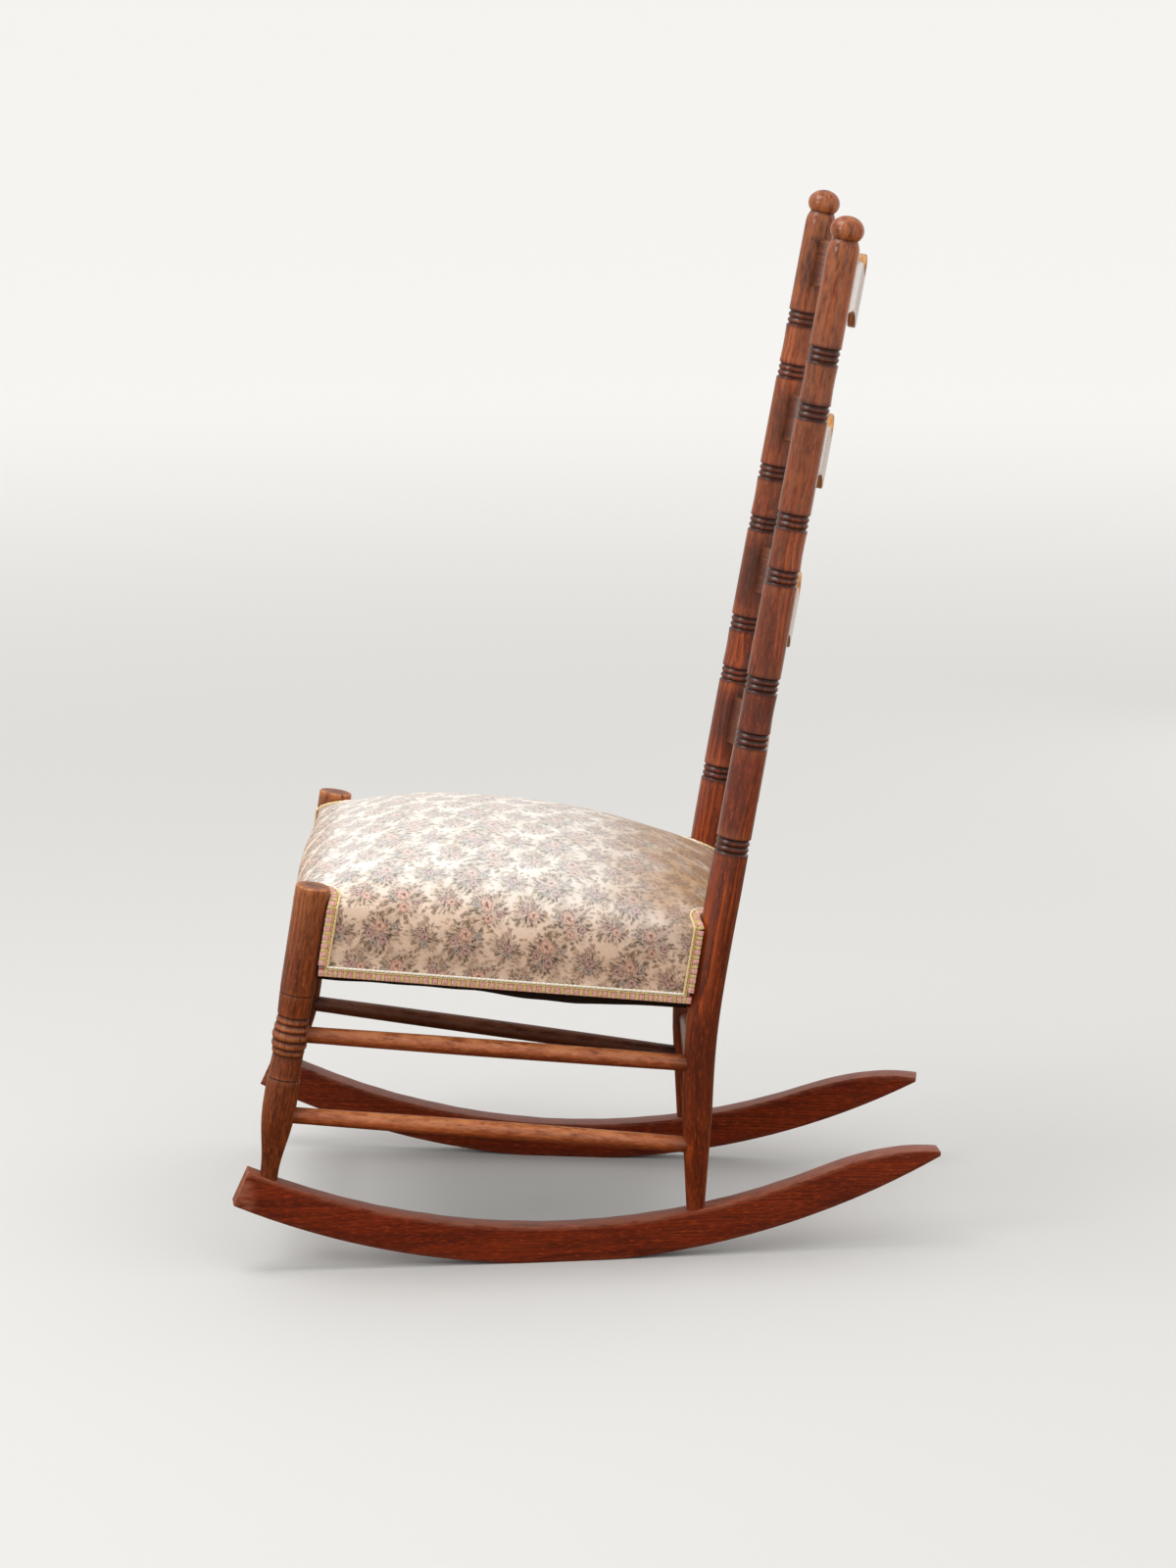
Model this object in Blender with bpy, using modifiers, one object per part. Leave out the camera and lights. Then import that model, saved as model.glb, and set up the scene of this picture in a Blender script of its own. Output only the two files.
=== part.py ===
import math

import bmesh
import bpy
from mathutils import Matrix, Vector

# All sizes are in metres. The chair faces -Y, its left side is +X, and it stands on z = 0.
CLEARANCE = 0.0003

# Rockers: boards cut to a circle, spread wider at the front, laid out from the front leg's foot
ROCKER_LENGTH = 0.658
ROCKER_FRONT_OVERHANG = 0.033
ROCKER_LOW_FROM_FOOT = 0.2735
FOOT_SPACING = 0.3957
LEG_FOOT_ALONG = ROCKER_FRONT_OVERHANG - 0.5 * ROCKER_LENGTH
POST_FOOT_ALONG = LEG_FOOT_ALONG + FOOT_SPACING
ROCKER_LOW_POINT = LEG_FOOT_ALONG + ROCKER_LOW_FROM_FOOT
ROCKER_RADIUS = 0.735
ROCKER_DEPTH = 0.0345
ROCKER_THICKNESS = 0.022
ROCKER_FLAT = 0.080
ROCKER_NOSE_LENGTH = 0.112
ROCKER_NOSE_REACH = 0.064
ROCKER_TIP_HEIGHT = 0.004
ROCKER_SPACING = 0.3326
ROCKER_TOE = math.radians(6.8)
FOOT_SOCKET_DEPTH = 0.020
SCREW_RADIUS = 0.0022
SCREW_HEAD_RADIUS = 0.0045
SCREW_HEAD_HEIGHT = 0.003
SCREW_RECESS = 0.007
SCREW_REACH = 0.016
SCREW_POINT = 0.004

# Front legs: turned, leaning back
LEG_TOP_SPACING = 0.414
LEG_LEAN_BACK = 0.0450
LEG_TOP_Z = 0.364
LEG_RADIUS = 0.0159
LEG_TOP_ROUND = 0.0012
LEG_NECK_FROM_TOP = 0.1234
LEG_NECK_RADIUS = 0.0134
LEG_BEAD_WIDTH = 0.0072
LEG_BEAD_RADII = (0.0147, 0.0157, 0.0167, 0.0161, 0.0149)
LEG_SWELL_FROM_TOP = 0.205
LEG_SWELL_RADIUS = 0.0154
LEG_FOOT_RADIUS = 0.0083
LEG_PLAIN_SHARE = 0.78
LEG_COLLAR_SHARE = 0.965
LEG_WAIST_SHARES = (0.1, 0.5)
LEG_TAPER_SHARE = 0.93
LEG_TAPER_LAG = 1.2

# Rear posts: turned with ring groups and a ball on top, bent back at the seat
POST_SPACING = 0.332
POST_RAKE = math.radians(10.04)
POST_BEND_Z = 0.2134
POST_BEND_EASE = 0.060
POST_FOOT_RADIUS = 0.0085
POST_ANKLE_Z = 0.134
POST_ANKLE_RADIUS = 0.0139
POST_SEAT_Z = 0.350
POST_SEAT_RADIUS = 0.0160
POST_SHOULDER_Z = 0.931
POST_SHOULDER_RADIUS = 0.0144
POST_SHOULDER_ROUND = 0.009
BALL_NECK_RADIUS = 0.0112
BALL_RADIUS = 0.0147
BALL_HALF_HEIGHT = 0.0125
BALL_TOP_ANGLE = math.radians(83.0)
BALL_COVE_SHARE = 0.6
RING_GROUP_HEIGHT = 0.015
RING_RECESS = 0.0018
RING_BEAD_RECESS = 0.0005
RING_FROM_SLAT = 0.049
RING_EDGE_SHARE = 0.50
RING_WALL_SHARE = 0.44
RING_FLOOR_SHARE = 0.32
RING_BEAD_SHARE = 0.17

# Back slats: bowed back, each a little less than the one above, with wavy edges that run side by side
SLAT_COUNT = 4
SLAT_TOP_Z = 0.887
SLAT_PITCH = 0.1486
SLAT_HEIGHT = 0.046
SLAT_THICKNESS = 0.008
SLAT_LIFT = 0.006
SLAT_BOW = 0.032
SLAT_BOW_STEP = 0.0026
SLAT_WAVE = 0.019
SLAT_CREST = 0.004
SLAT_TROUGH_FROM_MIDDLE = 0.046
SLAT_CREST_FROM_MIDDLE = 0.102
SLAT_TENON = 0.011
SLAT_EDGE_ROUND = 0.0012

# Stretchers between the legs, given by their heights on the leg axes
RUNG_END_RADIUS = 0.0076
RUNG_MIDDLE_RADIUS = 0.0083
RUNG_PLAIN_END = 0.024
RUNG_SET_IN = 0.0045
SIDE_UPPER_FRONT_Z = 0.2255
SIDE_UPPER_REAR_Z = 0.1845
SIDE_LOWER_FRONT_Z = 0.149
SIDE_LOWER_REAR_Z = 0.1055
FRONT_UPPER_Z = 0.203
FRONT_LOWER_Z = 0.129
REAR_RUNG_Z = 0.145

# Seat frame: rails tenoned into the legs and posts, lower at the back
SEAT_FRONT_Z = 0.284
SEAT_REAR_Z = 0.244
RAIL_HEIGHT = 0.058
RAIL_THICKNESS = 0.020
RAIL_TENON_HEIGHT = 0.034
RAIL_TENON_THICKNESS = 0.008
RAIL_SET_IN = 0.006
RAIL_SHOULDER_GAP = 0.001
RAIL_EDGE_ROUND = 0.0015

# Upholstery, from the webbing up to the cover and down to the dust cover
WEB_COUNT = 3
WEB_WIDTH = 0.050
WEB_THICKNESS = 0.0015
WEB_WEAVE = 0.0018
WEB_WEAVE_RUN = 0.058
WEB_LONG_PITCH = 0.095
WEB_CROSS_PITCH = 0.100
HESSIAN_THICKNESS = 0.0008
COVER_THICKNESS = 0.0018
COVER_GAP = 0.0007
COVER_FRONT_WALL = 0.066
COVER_REAR_WALL = 0.0735
COVER_CROWN = 0.0565
CROWN_ACROSS_POWER = 2.15
CROWN_FRONT_POWER = 2.7
CROWN_REAR_POWER = 1.85
CROWN_FULLNESS = 0.69
COVER_WALL_LEVELS = (0.82, 0.60, 0.36)
COVER_FRONT_ROLL = 0.005
COVER_ROLL_REACH = 0.12
EASE_REACH = 0.80
COVER_FRONT_BULGE = 0.004
COVER_SIDE_BULGE = 0.003
STUFFING_GAP = 0.0008
DUST_COVER_THICKNESS = 0.0008
DUST_COVER_SAG = 0.008
DUST_COVER_MARGIN = 0.004
GIMP_WIDTH = 0.0105
GIMP_THICKNESS = 0.0018
GIMP_TOP_MARGIN = 0.0015

# Fineness of the meshes
TURNED_STEPS = 16
BEAD_TURNS = (0.2, 0.5, 0.8)
TAPER_STATIONS = 5
BALL_STATIONS = 7
BEND_STATIONS = 9
RUNG_STATIONS = 6
RUNG_STEPS = 12
POST_BEVEL_RESOLUTION = 4
SOCKET_SIDES = 16
SLAT_STATIONS = 32
ARC_STATIONS = 14
COVER_STATIONS = 16
STUFFING_STATIONS = 12
SHEET_STATIONS = 6
STRAP_STATIONS = 14
SCREW_STEPS = 8
SEARCH_STEPS = 40
MERGE_DISTANCE = 0.00005
EDGE_SHARE = 0.9999

WALNUT = ("walnut_stained_beech", (0.16, 0.045, 0.018, 1.0), 0.32, 0.0)
DARK_WOOD = ("dark_turned_wood", (0.12, 0.034, 0.014, 1.0), 0.34, 0.0)
PLAIN_WOOD = ("plain_rail_wood", (0.42, 0.28, 0.15, 1.0), 0.70, 0.0)
TAPESTRY = ("tapestry_cover", (0.72, 0.62, 0.52, 1.0), 0.90, 0.0)
BRAID = ("gimp_braid", (0.52, 0.28, 0.27, 1.0), 0.85, 0.0)
JUTE = ("jute_webbing", (0.38, 0.26, 0.14, 1.0), 0.95, 0.0)
HAIR = ("curled_hair_stuffing", (0.10, 0.07, 0.05, 1.0), 1.0, 0.0)
BLACK_CLOTH = ("black_dust_cloth", (0.02, 0.02, 0.02, 1.0), 0.95, 0.0)
STEEL = ("steel_screw", (0.45, 0.44, 0.42, 1.0), 0.40, 1.0)

UP = Vector((0.0, 0.0, 1.0))
ACROSS = Vector((1.0, 0.0, 0.0))


def both_sides():
    return ("left", 1.0), ("right", -1.0)


def clear_scene():
    for old in list(bpy.data.objects):
        bpy.data.objects.remove(old, do_unlink=True)


def new_collection(name):
    collection = bpy.data.collections.new(name)
    bpy.context.scene.collection.children.link(collection)
    return collection


def material_for(finish):
    name, colour, roughness, metallic = finish
    found = bpy.data.materials.get(name)
    if found:
        return found
    made = bpy.data.materials.new(name)
    made.use_nodes = True
    shader = made.node_tree.nodes["Principled BSDF"]
    shader.inputs["Base Color"].default_value = colour
    shader.inputs["Roughness"].default_value = roughness
    shader.inputs["Metallic"].default_value = metallic
    return made


def place(name, mesh, finish, matrix=None, parent=None):
    made = bpy.data.objects.new(name, mesh)
    PARTS.objects.link(made)
    mesh.materials.clear()
    mesh.materials.append(material_for(finish))
    made.parent = parent
    if matrix is not None:
        made.matrix_local = matrix
    return made


def place_cutter(name, mesh, matrix=None, parent=None):
    made = bpy.data.objects.new(name, mesh)
    CUTTERS.objects.link(made)
    made.hide_render = True
    made.display_type = "WIRE"
    made.parent = parent
    if matrix is not None:
        made.matrix_local = matrix
    return made


def combine(target, other, operation="DIFFERENCE"):
    boolean = target.modifiers.new(other.name, "BOOLEAN")
    boolean.operation = operation
    boolean.object = other


def smooth(mesh, angle=40.0):
    mesh.shade_smooth()
    mesh.set_sharp_from_angle(angle=math.radians(angle))


def mesh_from(work, name):
    mesh = bpy.data.meshes.new(name)
    work.to_mesh(mesh)
    work.free()
    return mesh


def frame_at(origin, z_direction, x_hint=ACROSS):
    z_axis = z_direction.normalized()
    x_axis = (x_hint - z_axis * x_hint.dot(z_axis)).normalized()
    y_axis = z_axis.cross(x_axis)
    turn = Matrix((x_axis, y_axis, z_axis)).transposed()
    return Matrix.Translation(origin) @ turn.to_4x4()


def box_mesh(name, size_x, size_y, size_z):
    work = bmesh.new()
    bmesh.ops.create_cube(work, size=1.0)
    bmesh.ops.scale(work, vec=(size_x, size_y, size_z), verts=work.verts)
    return mesh_from(work, name)


def rod_mesh(name, radius, length):
    work = bmesh.new()
    bmesh.ops.create_cone(work, cap_ends=True, segments=SOCKET_SIDES, radius1=radius, radius2=radius,
                          depth=length)
    return mesh_from(work, name)


# A turned piece: the profile lists (height, radius) from the top down, and Screw spins it
def turned_mesh(name, profile):
    work = bmesh.new()
    top, bottom = profile[0][0], profile[-1][0]
    outline = [(top, 0.0)] + list(profile) + [(bottom, 0.0)]
    points = [work.verts.new((radius, 0.0, height)) for height, radius in outline]
    for upper, lower in zip(points, points[1:]):
        work.edges.new((upper, lower))
    return mesh_from(work, name)


def spin(made, steps):
    screw = made.modifiers.new("turn", "SCREW")
    screw.axis = "Z"
    screw.angle = math.tau
    screw.screw_offset = 0.0
    screw.steps = steps
    screw.render_steps = steps
    screw.use_merge_vertices = True
    screw.merge_threshold = MERGE_DISTANCE
    screw.use_smooth_shade = True


def solid_from_curve(name, curve):
    holder = bpy.data.objects.new(name + "_curve", curve)
    PARTS.objects.link(holder)
    graph = bpy.context.evaluated_depsgraph_get()
    mesh = bpy.data.meshes.new_from_object(holder.evaluated_get(graph))
    bpy.data.objects.remove(holder, do_unlink=True)
    work = bmesh.new()
    work.from_mesh(mesh)
    bmesh.ops.remove_doubles(work, verts=work.verts, dist=MERGE_DISTANCE)
    work.to_mesh(mesh)
    work.free()
    mesh.name = name
    return mesh


# A flat board: the outline lies in local X and Y, and the thickness runs along local Z
def board_mesh(name, outline, thickness):
    curve = bpy.data.curves.new(name, "CURVE")
    curve.dimensions = "2D"
    curve.fill_mode = "BOTH"
    curve.extrude = 0.5 * thickness
    spline = curve.splines.new("POLY")
    spline.points.add(len(outline) - 1)
    for point, (across, up) in zip(spline.points, outline):
        point.co = (across, up, 0.0, 1.0)
    spline.use_cyclic_u = True
    return solid_from_curve(name, curve)


# Rockers

def rocker_matrix(side):
    along = Vector((-side * math.sin(ROCKER_TOE), math.cos(ROCKER_TOE), 0.0))
    turn = Matrix((along, UP, along.cross(UP))).transposed()
    middle = Vector((side * 0.5 * ROCKER_SPACING, 0.0, 0.0))
    return Matrix.Translation(middle) @ turn.to_4x4()


def arc_height(along, radius):
    return ROCKER_RADIUS - math.sqrt(radius ** 2 - (along - ROCKER_LOW_POINT) ** 2)


def rocker_bottom(along):
    worn = arc_height(ROCKER_LOW_POINT + 0.5 * ROCKER_FLAT, ROCKER_RADIUS)
    return max(arc_height(along, ROCKER_RADIUS) - worn, 0.0)


def rocker_top(along):
    worn = arc_height(ROCKER_LOW_POINT + 0.5 * ROCKER_FLAT, ROCKER_RADIUS)
    return arc_height(along, ROCKER_RADIUS - ROCKER_DEPTH) - worn


def between(start, end, count):
    return [start + (end - start) * step / count for step in range(count + 1)]


def rocker_outline():
    front, rear = -0.5 * ROCKER_LENGTH, 0.5 * ROCKER_LENGTH
    flat_front = ROCKER_LOW_POINT - 0.5 * ROCKER_FLAT
    flat_rear = ROCKER_LOW_POINT + 0.5 * ROCKER_FLAT
    bottom = between(front, flat_front, ARC_STATIONS) + between(flat_rear, rear, ARC_STATIONS)
    points = [(along, rocker_bottom(along)) for along in bottom]
    # the rear end narrows to a nose whose upper edge is a parabola through three points
    nose = rear - ROCKER_NOSE_LENGTH
    lean = (nose - ROCKER_LOW_POINT) / (ROCKER_RADIUS - ROCKER_DEPTH)
    begin = Vector((nose, rocker_top(nose)))
    guide = begin + Vector((1.0, math.tan(math.asin(lean)))) * ROCKER_NOSE_REACH
    tip = Vector((rear, rocker_bottom(rear) + ROCKER_TIP_HEIGHT))
    for share in between(1.0, 0.0, ARC_STATIONS // 2):
        spot = begin * (1 - share) ** 2 + guide * 2 * share * (1 - share) + tip * share ** 2
        points.append((spot.x, spot.y))
    # the front end is cut square to the curve
    square = ROCKER_DEPTH * (front - ROCKER_LOW_POINT) / ROCKER_RADIUS
    top = between(nose, front - square, 2 * ARC_STATIONS)[1:]
    return points + [(along, rocker_top(along)) for along in top]


def rocker_spot(side, along, height):
    return rocker_matrix(side) @ Vector((along, height, 0.0))


# Axes of the front legs and rear posts, as functions of height

def leg_foot(side):
    return rocker_spot(side, LEG_FOOT_ALONG, rocker_top(LEG_FOOT_ALONG))


def leg_top(side):
    return Vector((side * 0.5 * LEG_TOP_SPACING, leg_foot(side).y + LEG_LEAN_BACK, LEG_TOP_Z))


def leg_axis(side, height):
    foot, top = leg_foot(side), leg_top(side)
    return foot + (top - foot) * (height - foot.z) / (top.z - foot.z)


def post_foot(side):
    return rocker_spot(side, POST_FOOT_ALONG, rocker_top(POST_FOOT_ALONG))


def above_bend(height):
    rise = height - POST_BEND_Z
    return 0.5 * (rise + math.hypot(rise, POST_BEND_EASE))


def below_bend(height):
    return above_bend(height) - (height - POST_BEND_Z)


def post_axis(side, height):
    foot = post_foot(side)
    splay = below_bend(height) / below_bend(foot.z)
    half = 0.5 * POST_SPACING
    across = half + (abs(foot.x) - half) * splay
    back = foot.y + math.tan(POST_RAKE) * (above_bend(height) - above_bend(foot.z))
    return Vector((side * across, back, height))


# Front leg

def leg_profile():
    length = (leg_top(1.0) - leg_foot(1.0)).length
    beads = LEG_BEAD_WIDTH * len(LEG_BEAD_RADII)
    below_beads = LEG_NECK_FROM_TOP + beads
    taper = length - LEG_SWELL_FROM_TOP
    down = [(0.0, LEG_RADIUS - LEG_TOP_ROUND), (LEG_TOP_ROUND, LEG_RADIUS)]
    down.append((LEG_PLAIN_SHARE * LEG_NECK_FROM_TOP, LEG_RADIUS))
    down.append((LEG_COLLAR_SHARE * LEG_NECK_FROM_TOP, LEG_RADIUS - LEG_TOP_ROUND))
    for index, radius in enumerate(LEG_BEAD_RADII):
        start = LEG_NECK_FROM_TOP + index * LEG_BEAD_WIDTH
        down.append((start, LEG_NECK_RADIUS))
        for turn in BEAD_TURNS:
            swell = (radius - LEG_NECK_RADIUS) * math.sin(math.pi * turn)
            down.append((start + turn * LEG_BEAD_WIDTH, LEG_NECK_RADIUS + swell))
    down.append((below_beads, LEG_NECK_RADIUS))
    for share in LEG_WAIST_SHARES:
        waist = 0.5 * (LEG_NECK_RADIUS + LEG_SWELL_RADIUS) + 0.5 * share * LEG_TOP_ROUND
        down.append((below_beads + share * (LEG_SWELL_FROM_TOP - below_beads), waist))
    for share in between(0.0, 1.0, TAPER_STATIONS):
        narrowing = 0.5 - 0.5 * math.cos(math.pi * share ** LEG_TAPER_LAG)
        radius = LEG_SWELL_RADIUS + (LEG_FOOT_RADIUS - LEG_SWELL_RADIUS) * narrowing
        down.append((LEG_SWELL_FROM_TOP + share * LEG_TAPER_SHARE * taper, radius))
    down.append((length + FOOT_SOCKET_DEPTH - CLEARANCE, LEG_FOOT_RADIUS))
    return [(length - drop, radius) for drop, radius in down]


def make_leg(name, side):
    foot = leg_foot(side)
    matrix = frame_at(foot, leg_top(side) - foot)
    made = place(name + "_front_leg", turned_mesh(name + "_front_leg", leg_profile()), WALNUT, matrix)
    spin(made, TURNED_STEPS)
    return made


# Rear post

def slat_heights():
    return [SLAT_TOP_Z - index * SLAT_PITCH for index in range(SLAT_COUNT)]


def ring_heights():
    below = [height - RING_FROM_SLAT for height in slat_heights()]
    above = [height + RING_FROM_SLAT for height in slat_heights()[1:]]
    return sorted(below + above)


def post_radius(height):
    foot = post_foot(1.0).z
    stations = ((foot, POST_FOOT_RADIUS), (POST_ANKLE_Z, POST_ANKLE_RADIUS), (POST_SEAT_Z, POST_SEAT_RADIUS),
                (POST_SHOULDER_Z, POST_SHOULDER_RADIUS))
    for (low, low_radius), (high, high_radius) in zip(stations, stations[1:]):
        if height <= high:
            share = max(height - low, 0.0) / (high - low)
            return low_radius + (high_radius - low_radius) * share
    return POST_SHOULDER_RADIUS


def ring_group(middle):
    half = [(RING_EDGE_SHARE, 0.0), (RING_WALL_SHARE, RING_RECESS), (RING_FLOOR_SHARE, RING_RECESS),
            (RING_BEAD_SHARE, RING_BEAD_RECESS)]
    lower = [(-share, recess) for share, recess in half]
    spots = []
    for share, recess in lower + [(0.0, RING_RECESS)] + half[::-1]:
        height = middle + share * RING_GROUP_HEIGHT
        spots.append((height, post_radius(height) - recess))
    return spots


def ball_spots():
    neck = POST_SHOULDER_Z + POST_SHOULDER_ROUND
    lowest = math.asin(-math.sqrt(1.0 - (BALL_NECK_RADIUS / BALL_RADIUS) ** 2))
    middle = neck - BALL_HALF_HEIGHT * math.sin(lowest)
    cove = POST_SHOULDER_Z + BALL_COVE_SHARE * POST_SHOULDER_ROUND
    spots = [(cove, 0.5 * (BALL_NECK_RADIUS + POST_SHOULDER_RADIUS))]
    for turn in between(lowest, BALL_TOP_ANGLE, BALL_STATIONS):
        spots.append((middle + BALL_HALF_HEIGHT * math.sin(turn), BALL_RADIUS * math.cos(turn)))
    return spots


def post_profile():
    foot = post_foot(1.0).z
    spots = [(foot - FOOT_SOCKET_DEPTH + CLEARANCE, POST_FOOT_RADIUS), (foot, POST_FOOT_RADIUS)]
    for height in between(foot, POST_SEAT_Z, BEND_STATIONS)[1:]:
        spots.append((height, post_radius(height)))
    for middle in ring_heights():
        spots += ring_group(middle)
    spots.append((POST_SHOULDER_Z, POST_SHOULDER_RADIUS))
    return spots + ball_spots()


def make_post(name, side):
    curve = bpy.data.curves.new(name + "_rear_post", "CURVE")
    curve.dimensions = "3D"
    curve.bevel_depth = 1.0
    curve.bevel_resolution = POST_BEVEL_RESOLUTION
    curve.use_fill_caps = True
    profile = post_profile()
    spline = curve.splines.new("POLY")
    spline.points.add(len(profile) - 1)
    for point, (height, radius) in zip(spline.points, profile):
        point.co = (*post_axis(side, height), 1.0)
        point.radius = radius
    mesh = solid_from_curve(name + "_rear_post", curve)
    smooth(mesh)
    return place(name + "_rear_post", mesh, DARK_WOOD)


# Back slats

def slat_rise(across):
    reach = abs(across)
    if reach < SLAT_TROUGH_FROM_MIDDLE:
        drop = 0.5 - 0.5 * math.cos(math.pi * reach / SLAT_TROUGH_FROM_MIDDLE)
    elif reach < SLAT_CREST_FROM_MIDDLE:
        run = SLAT_CREST_FROM_MIDDLE - SLAT_TROUGH_FROM_MIDDLE
        drop = 0.5 + 0.5 * math.cos(math.pi * (reach - SLAT_TROUGH_FROM_MIDDLE) / run)
    else:
        run = 0.5 * POST_SPACING - SLAT_CREST_FROM_MIDDLE
        fall = 0.5 - 0.5 * math.cos(math.pi * min((reach - SLAT_CREST_FROM_MIDDLE) / run, 1.0))
        return SLAT_CREST * (1.0 - fall)
    return SLAT_CREST - SLAT_WAVE * drop


def slat_object(name, index, extra, cutter):
    height = slat_heights()[index] + SLAT_LIFT
    surface = post_radius(height)
    bow = SLAT_BOW - index * SLAT_BOW_STEP
    half_length = 0.5 * POST_SPACING - surface + SLAT_TENON + extra
    work = bmesh.new()
    bmesh.ops.create_grid(work, x_segments=SLAT_STATIONS, y_segments=1, size=1.0)
    for vert in work.verts:
        across = vert.co.x * half_length
        up = slat_rise(across) + vert.co.y * (0.5 * SLAT_HEIGHT + extra)
        back = bow * (1.0 - (across / (0.5 * POST_SPACING)) ** 2)
        vert.co = (across, back, up)
    bmesh.ops.reverse_faces(work, faces=work.faces)
    mesh = mesh_from(work, name)
    middle = post_axis(1.0, height)
    matrix = Matrix.Translation((0.0, middle.y, height)) @ Matrix.Rotation(-POST_RAKE, 4, "X")
    made = place_cutter(name, mesh, matrix) if cutter else place(name, mesh, WALNUT, matrix)
    wall = made.modifiers.new("thickness", "SOLIDIFY")
    wall.thickness = SLAT_THICKNESS + 2.0 * extra
    wall.offset = 0.0
    wall.use_even_offset = True
    if not cutter:
        edge = made.modifiers.new("edges", "BEVEL")
        edge.width = SLAT_EDGE_ROUND
        edge.segments = 1
        edge.limit_method = "ANGLE"
        edge.angle_limit = math.radians(60.0)
    return made


# Stretchers

def rung_profile(length):
    spots = []
    for share in between(0.0, 1.0, RUNG_STATIONS):
        height = length - RUNG_PLAIN_END - share * (length - 2.0 * RUNG_PLAIN_END)
        radius = RUNG_END_RADIUS + (RUNG_MIDDLE_RADIUS - RUNG_END_RADIUS) * math.sin(math.pi * share)
        spots.append((height, radius))
    return [(length, RUNG_END_RADIUS)] + spots + [(0.0, RUNG_END_RADIUS)]


def make_rung(name, start, end, first, second):
    along = (end - start).normalized()
    length = (end - start).length - 2.0 * RUNG_SET_IN
    matrix = frame_at(start + along * RUNG_SET_IN, along, UP)
    made = place(name, turned_mesh(name, rung_profile(length)), WALNUT, matrix)
    spin(made, RUNG_STEPS)
    bore = RUNG_PLAIN_END + CLEARANCE
    for holder, origin, way in ((first, start, along), (second, end, -along)):
        middle = origin + way * (RUNG_SET_IN - CLEARANCE + 0.5 * bore)
        rod = rod_mesh(name + "_bore", RUNG_END_RADIUS + CLEARANCE, bore)
        combine(holder, place_cutter(name + "_bore", rod, frame_at(middle, way, UP)))
    return made


# Seat frame: everything here is laid out on a plane that slopes down to the back

def seat_matrix():
    front, rear = leg_axis(1.0, SEAT_FRONT_Z), post_axis(1.0, SEAT_REAR_Z)
    slope = math.atan2(SEAT_REAR_Z - SEAT_FRONT_Z, rear.y - front.y)
    middle = Vector((0.0, 0.5 * (front.y + rear.y), 0.5 * (front.z + rear.z)))
    return Matrix.Translation(middle) @ Matrix.Rotation(slope, 4, "X")


def seat_crossing(axis, side, level):
    inward = seat_matrix().inverted()
    low, high = 0.5 * SEAT_REAR_Z, 2.0 * SEAT_FRONT_Z
    for _ in range(SEARCH_STEPS):
        trial = 0.5 * (low + high)
        if (inward @ axis(side, trial)).z < level:
            low = trial
        else:
            high = trial
    return inward @ axis(side, 0.5 * (low + high))


# Each end of a rail is (axis, side, radius, piece) of the leg or post that holds it
def make_rail(name, first, second, seat):
    start = seat_crossing(first[0], first[1], 0.5 * RAIL_HEIGHT)
    end = seat_crossing(second[0], second[1], 0.5 * RAIL_HEIGHT)
    along = (end - start).normalized()
    span = (end - start).length
    edges = (0.0, RAIL_HEIGHT)
    begin = max((seat_crossing(first[0], first[1], edge) - start).dot(along) for edge in edges)
    finish = min((seat_crossing(second[0], second[1], edge) - start).dot(along) for edge in edges)
    begin += first[2] + RAIL_SHOULDER_GAP
    finish -= second[2] + RAIL_SHOULDER_GAP
    centre = start + along * 0.5 * (begin + finish)
    body = place(name, box_mesh(name, finish - begin, RAIL_THICKNESS, RAIL_HEIGHT), PLAIN_WOOD,
                 frame_at(centre, UP, along), seat)
    edge = body.modifiers.new("edges", "BEVEL")
    edge.width = RAIL_EDGE_ROUND
    edge.segments = 1
    edge.limit_method = "ANGLE"
    middle = frame_at(0.5 * (start + end), UP, along)
    tenon = box_mesh(name + "_tenon", span - 2.0 * RAIL_SET_IN, RAIL_TENON_THICKNESS, RAIL_TENON_HEIGHT)
    combine(body, place_cutter(name + "_tenon", tenon, middle, seat), "UNION")
    mortise = box_mesh(name + "_mortise", span - 2.0 * (RAIL_SET_IN - CLEARANCE),
                       RAIL_TENON_THICKNESS + 2.0 * CLEARANCE, RAIL_TENON_HEIGHT + 2.0 * CLEARANCE)
    cutter = place_cutter(name + "_mortise", mortise, middle, seat)
    combine(first[3], cutter)
    combine(second[3], cutter)


# Upholstery

def wall_out():
    return 0.5 * RAIL_THICKNESS + COVER_GAP + COVER_THICKNESS


def seat_plan(out):
    front = seat_crossing(leg_axis, 1.0, 0.5 * RAIL_HEIGHT)
    rear = seat_crossing(post_axis, 1.0, 0.5 * RAIL_HEIGHT)
    slope = (rear.x - front.x) / (rear.y - front.y)
    sideways = out * math.hypot(1.0, slope)
    y_front, y_rear = front.y - out, rear.y + out
    half_front = front.x + slope * (y_front - front.y) + sideways
    half_rear = front.x + slope * (y_rear - front.y) + sideways
    return y_front, y_rear, half_front, half_rear


def on_plan(plan, across, along):
    y_front, y_rear, half_front, half_rear = plan
    share = 0.5 * (along + 1.0)
    half = half_front + (half_rear - half_front) * share
    return Vector((across * half, y_front + (y_rear - y_front) * share))


def wall_height(along):
    return COVER_FRONT_WALL + (COVER_REAR_WALL - COVER_FRONT_WALL) * 0.5 * (along + 1.0)


def crown_height(across, along):
    along_power = CROWN_FRONT_POWER if along < 0.0 else CROWN_REAR_POWER
    fullness = (1.0 - abs(across) ** CROWN_ACROSS_POWER) * (1.0 - abs(along) ** along_power)
    return COVER_CROWN * max(fullness, 0.0) ** CROWN_FULLNESS


# How far the front edge rolls forward, most at its middle
def front_roll(across, along):
    return COVER_FRONT_ROLL * edge_ease(across) * math.exp(-(along + 1.0) / COVER_ROLL_REACH)


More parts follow.
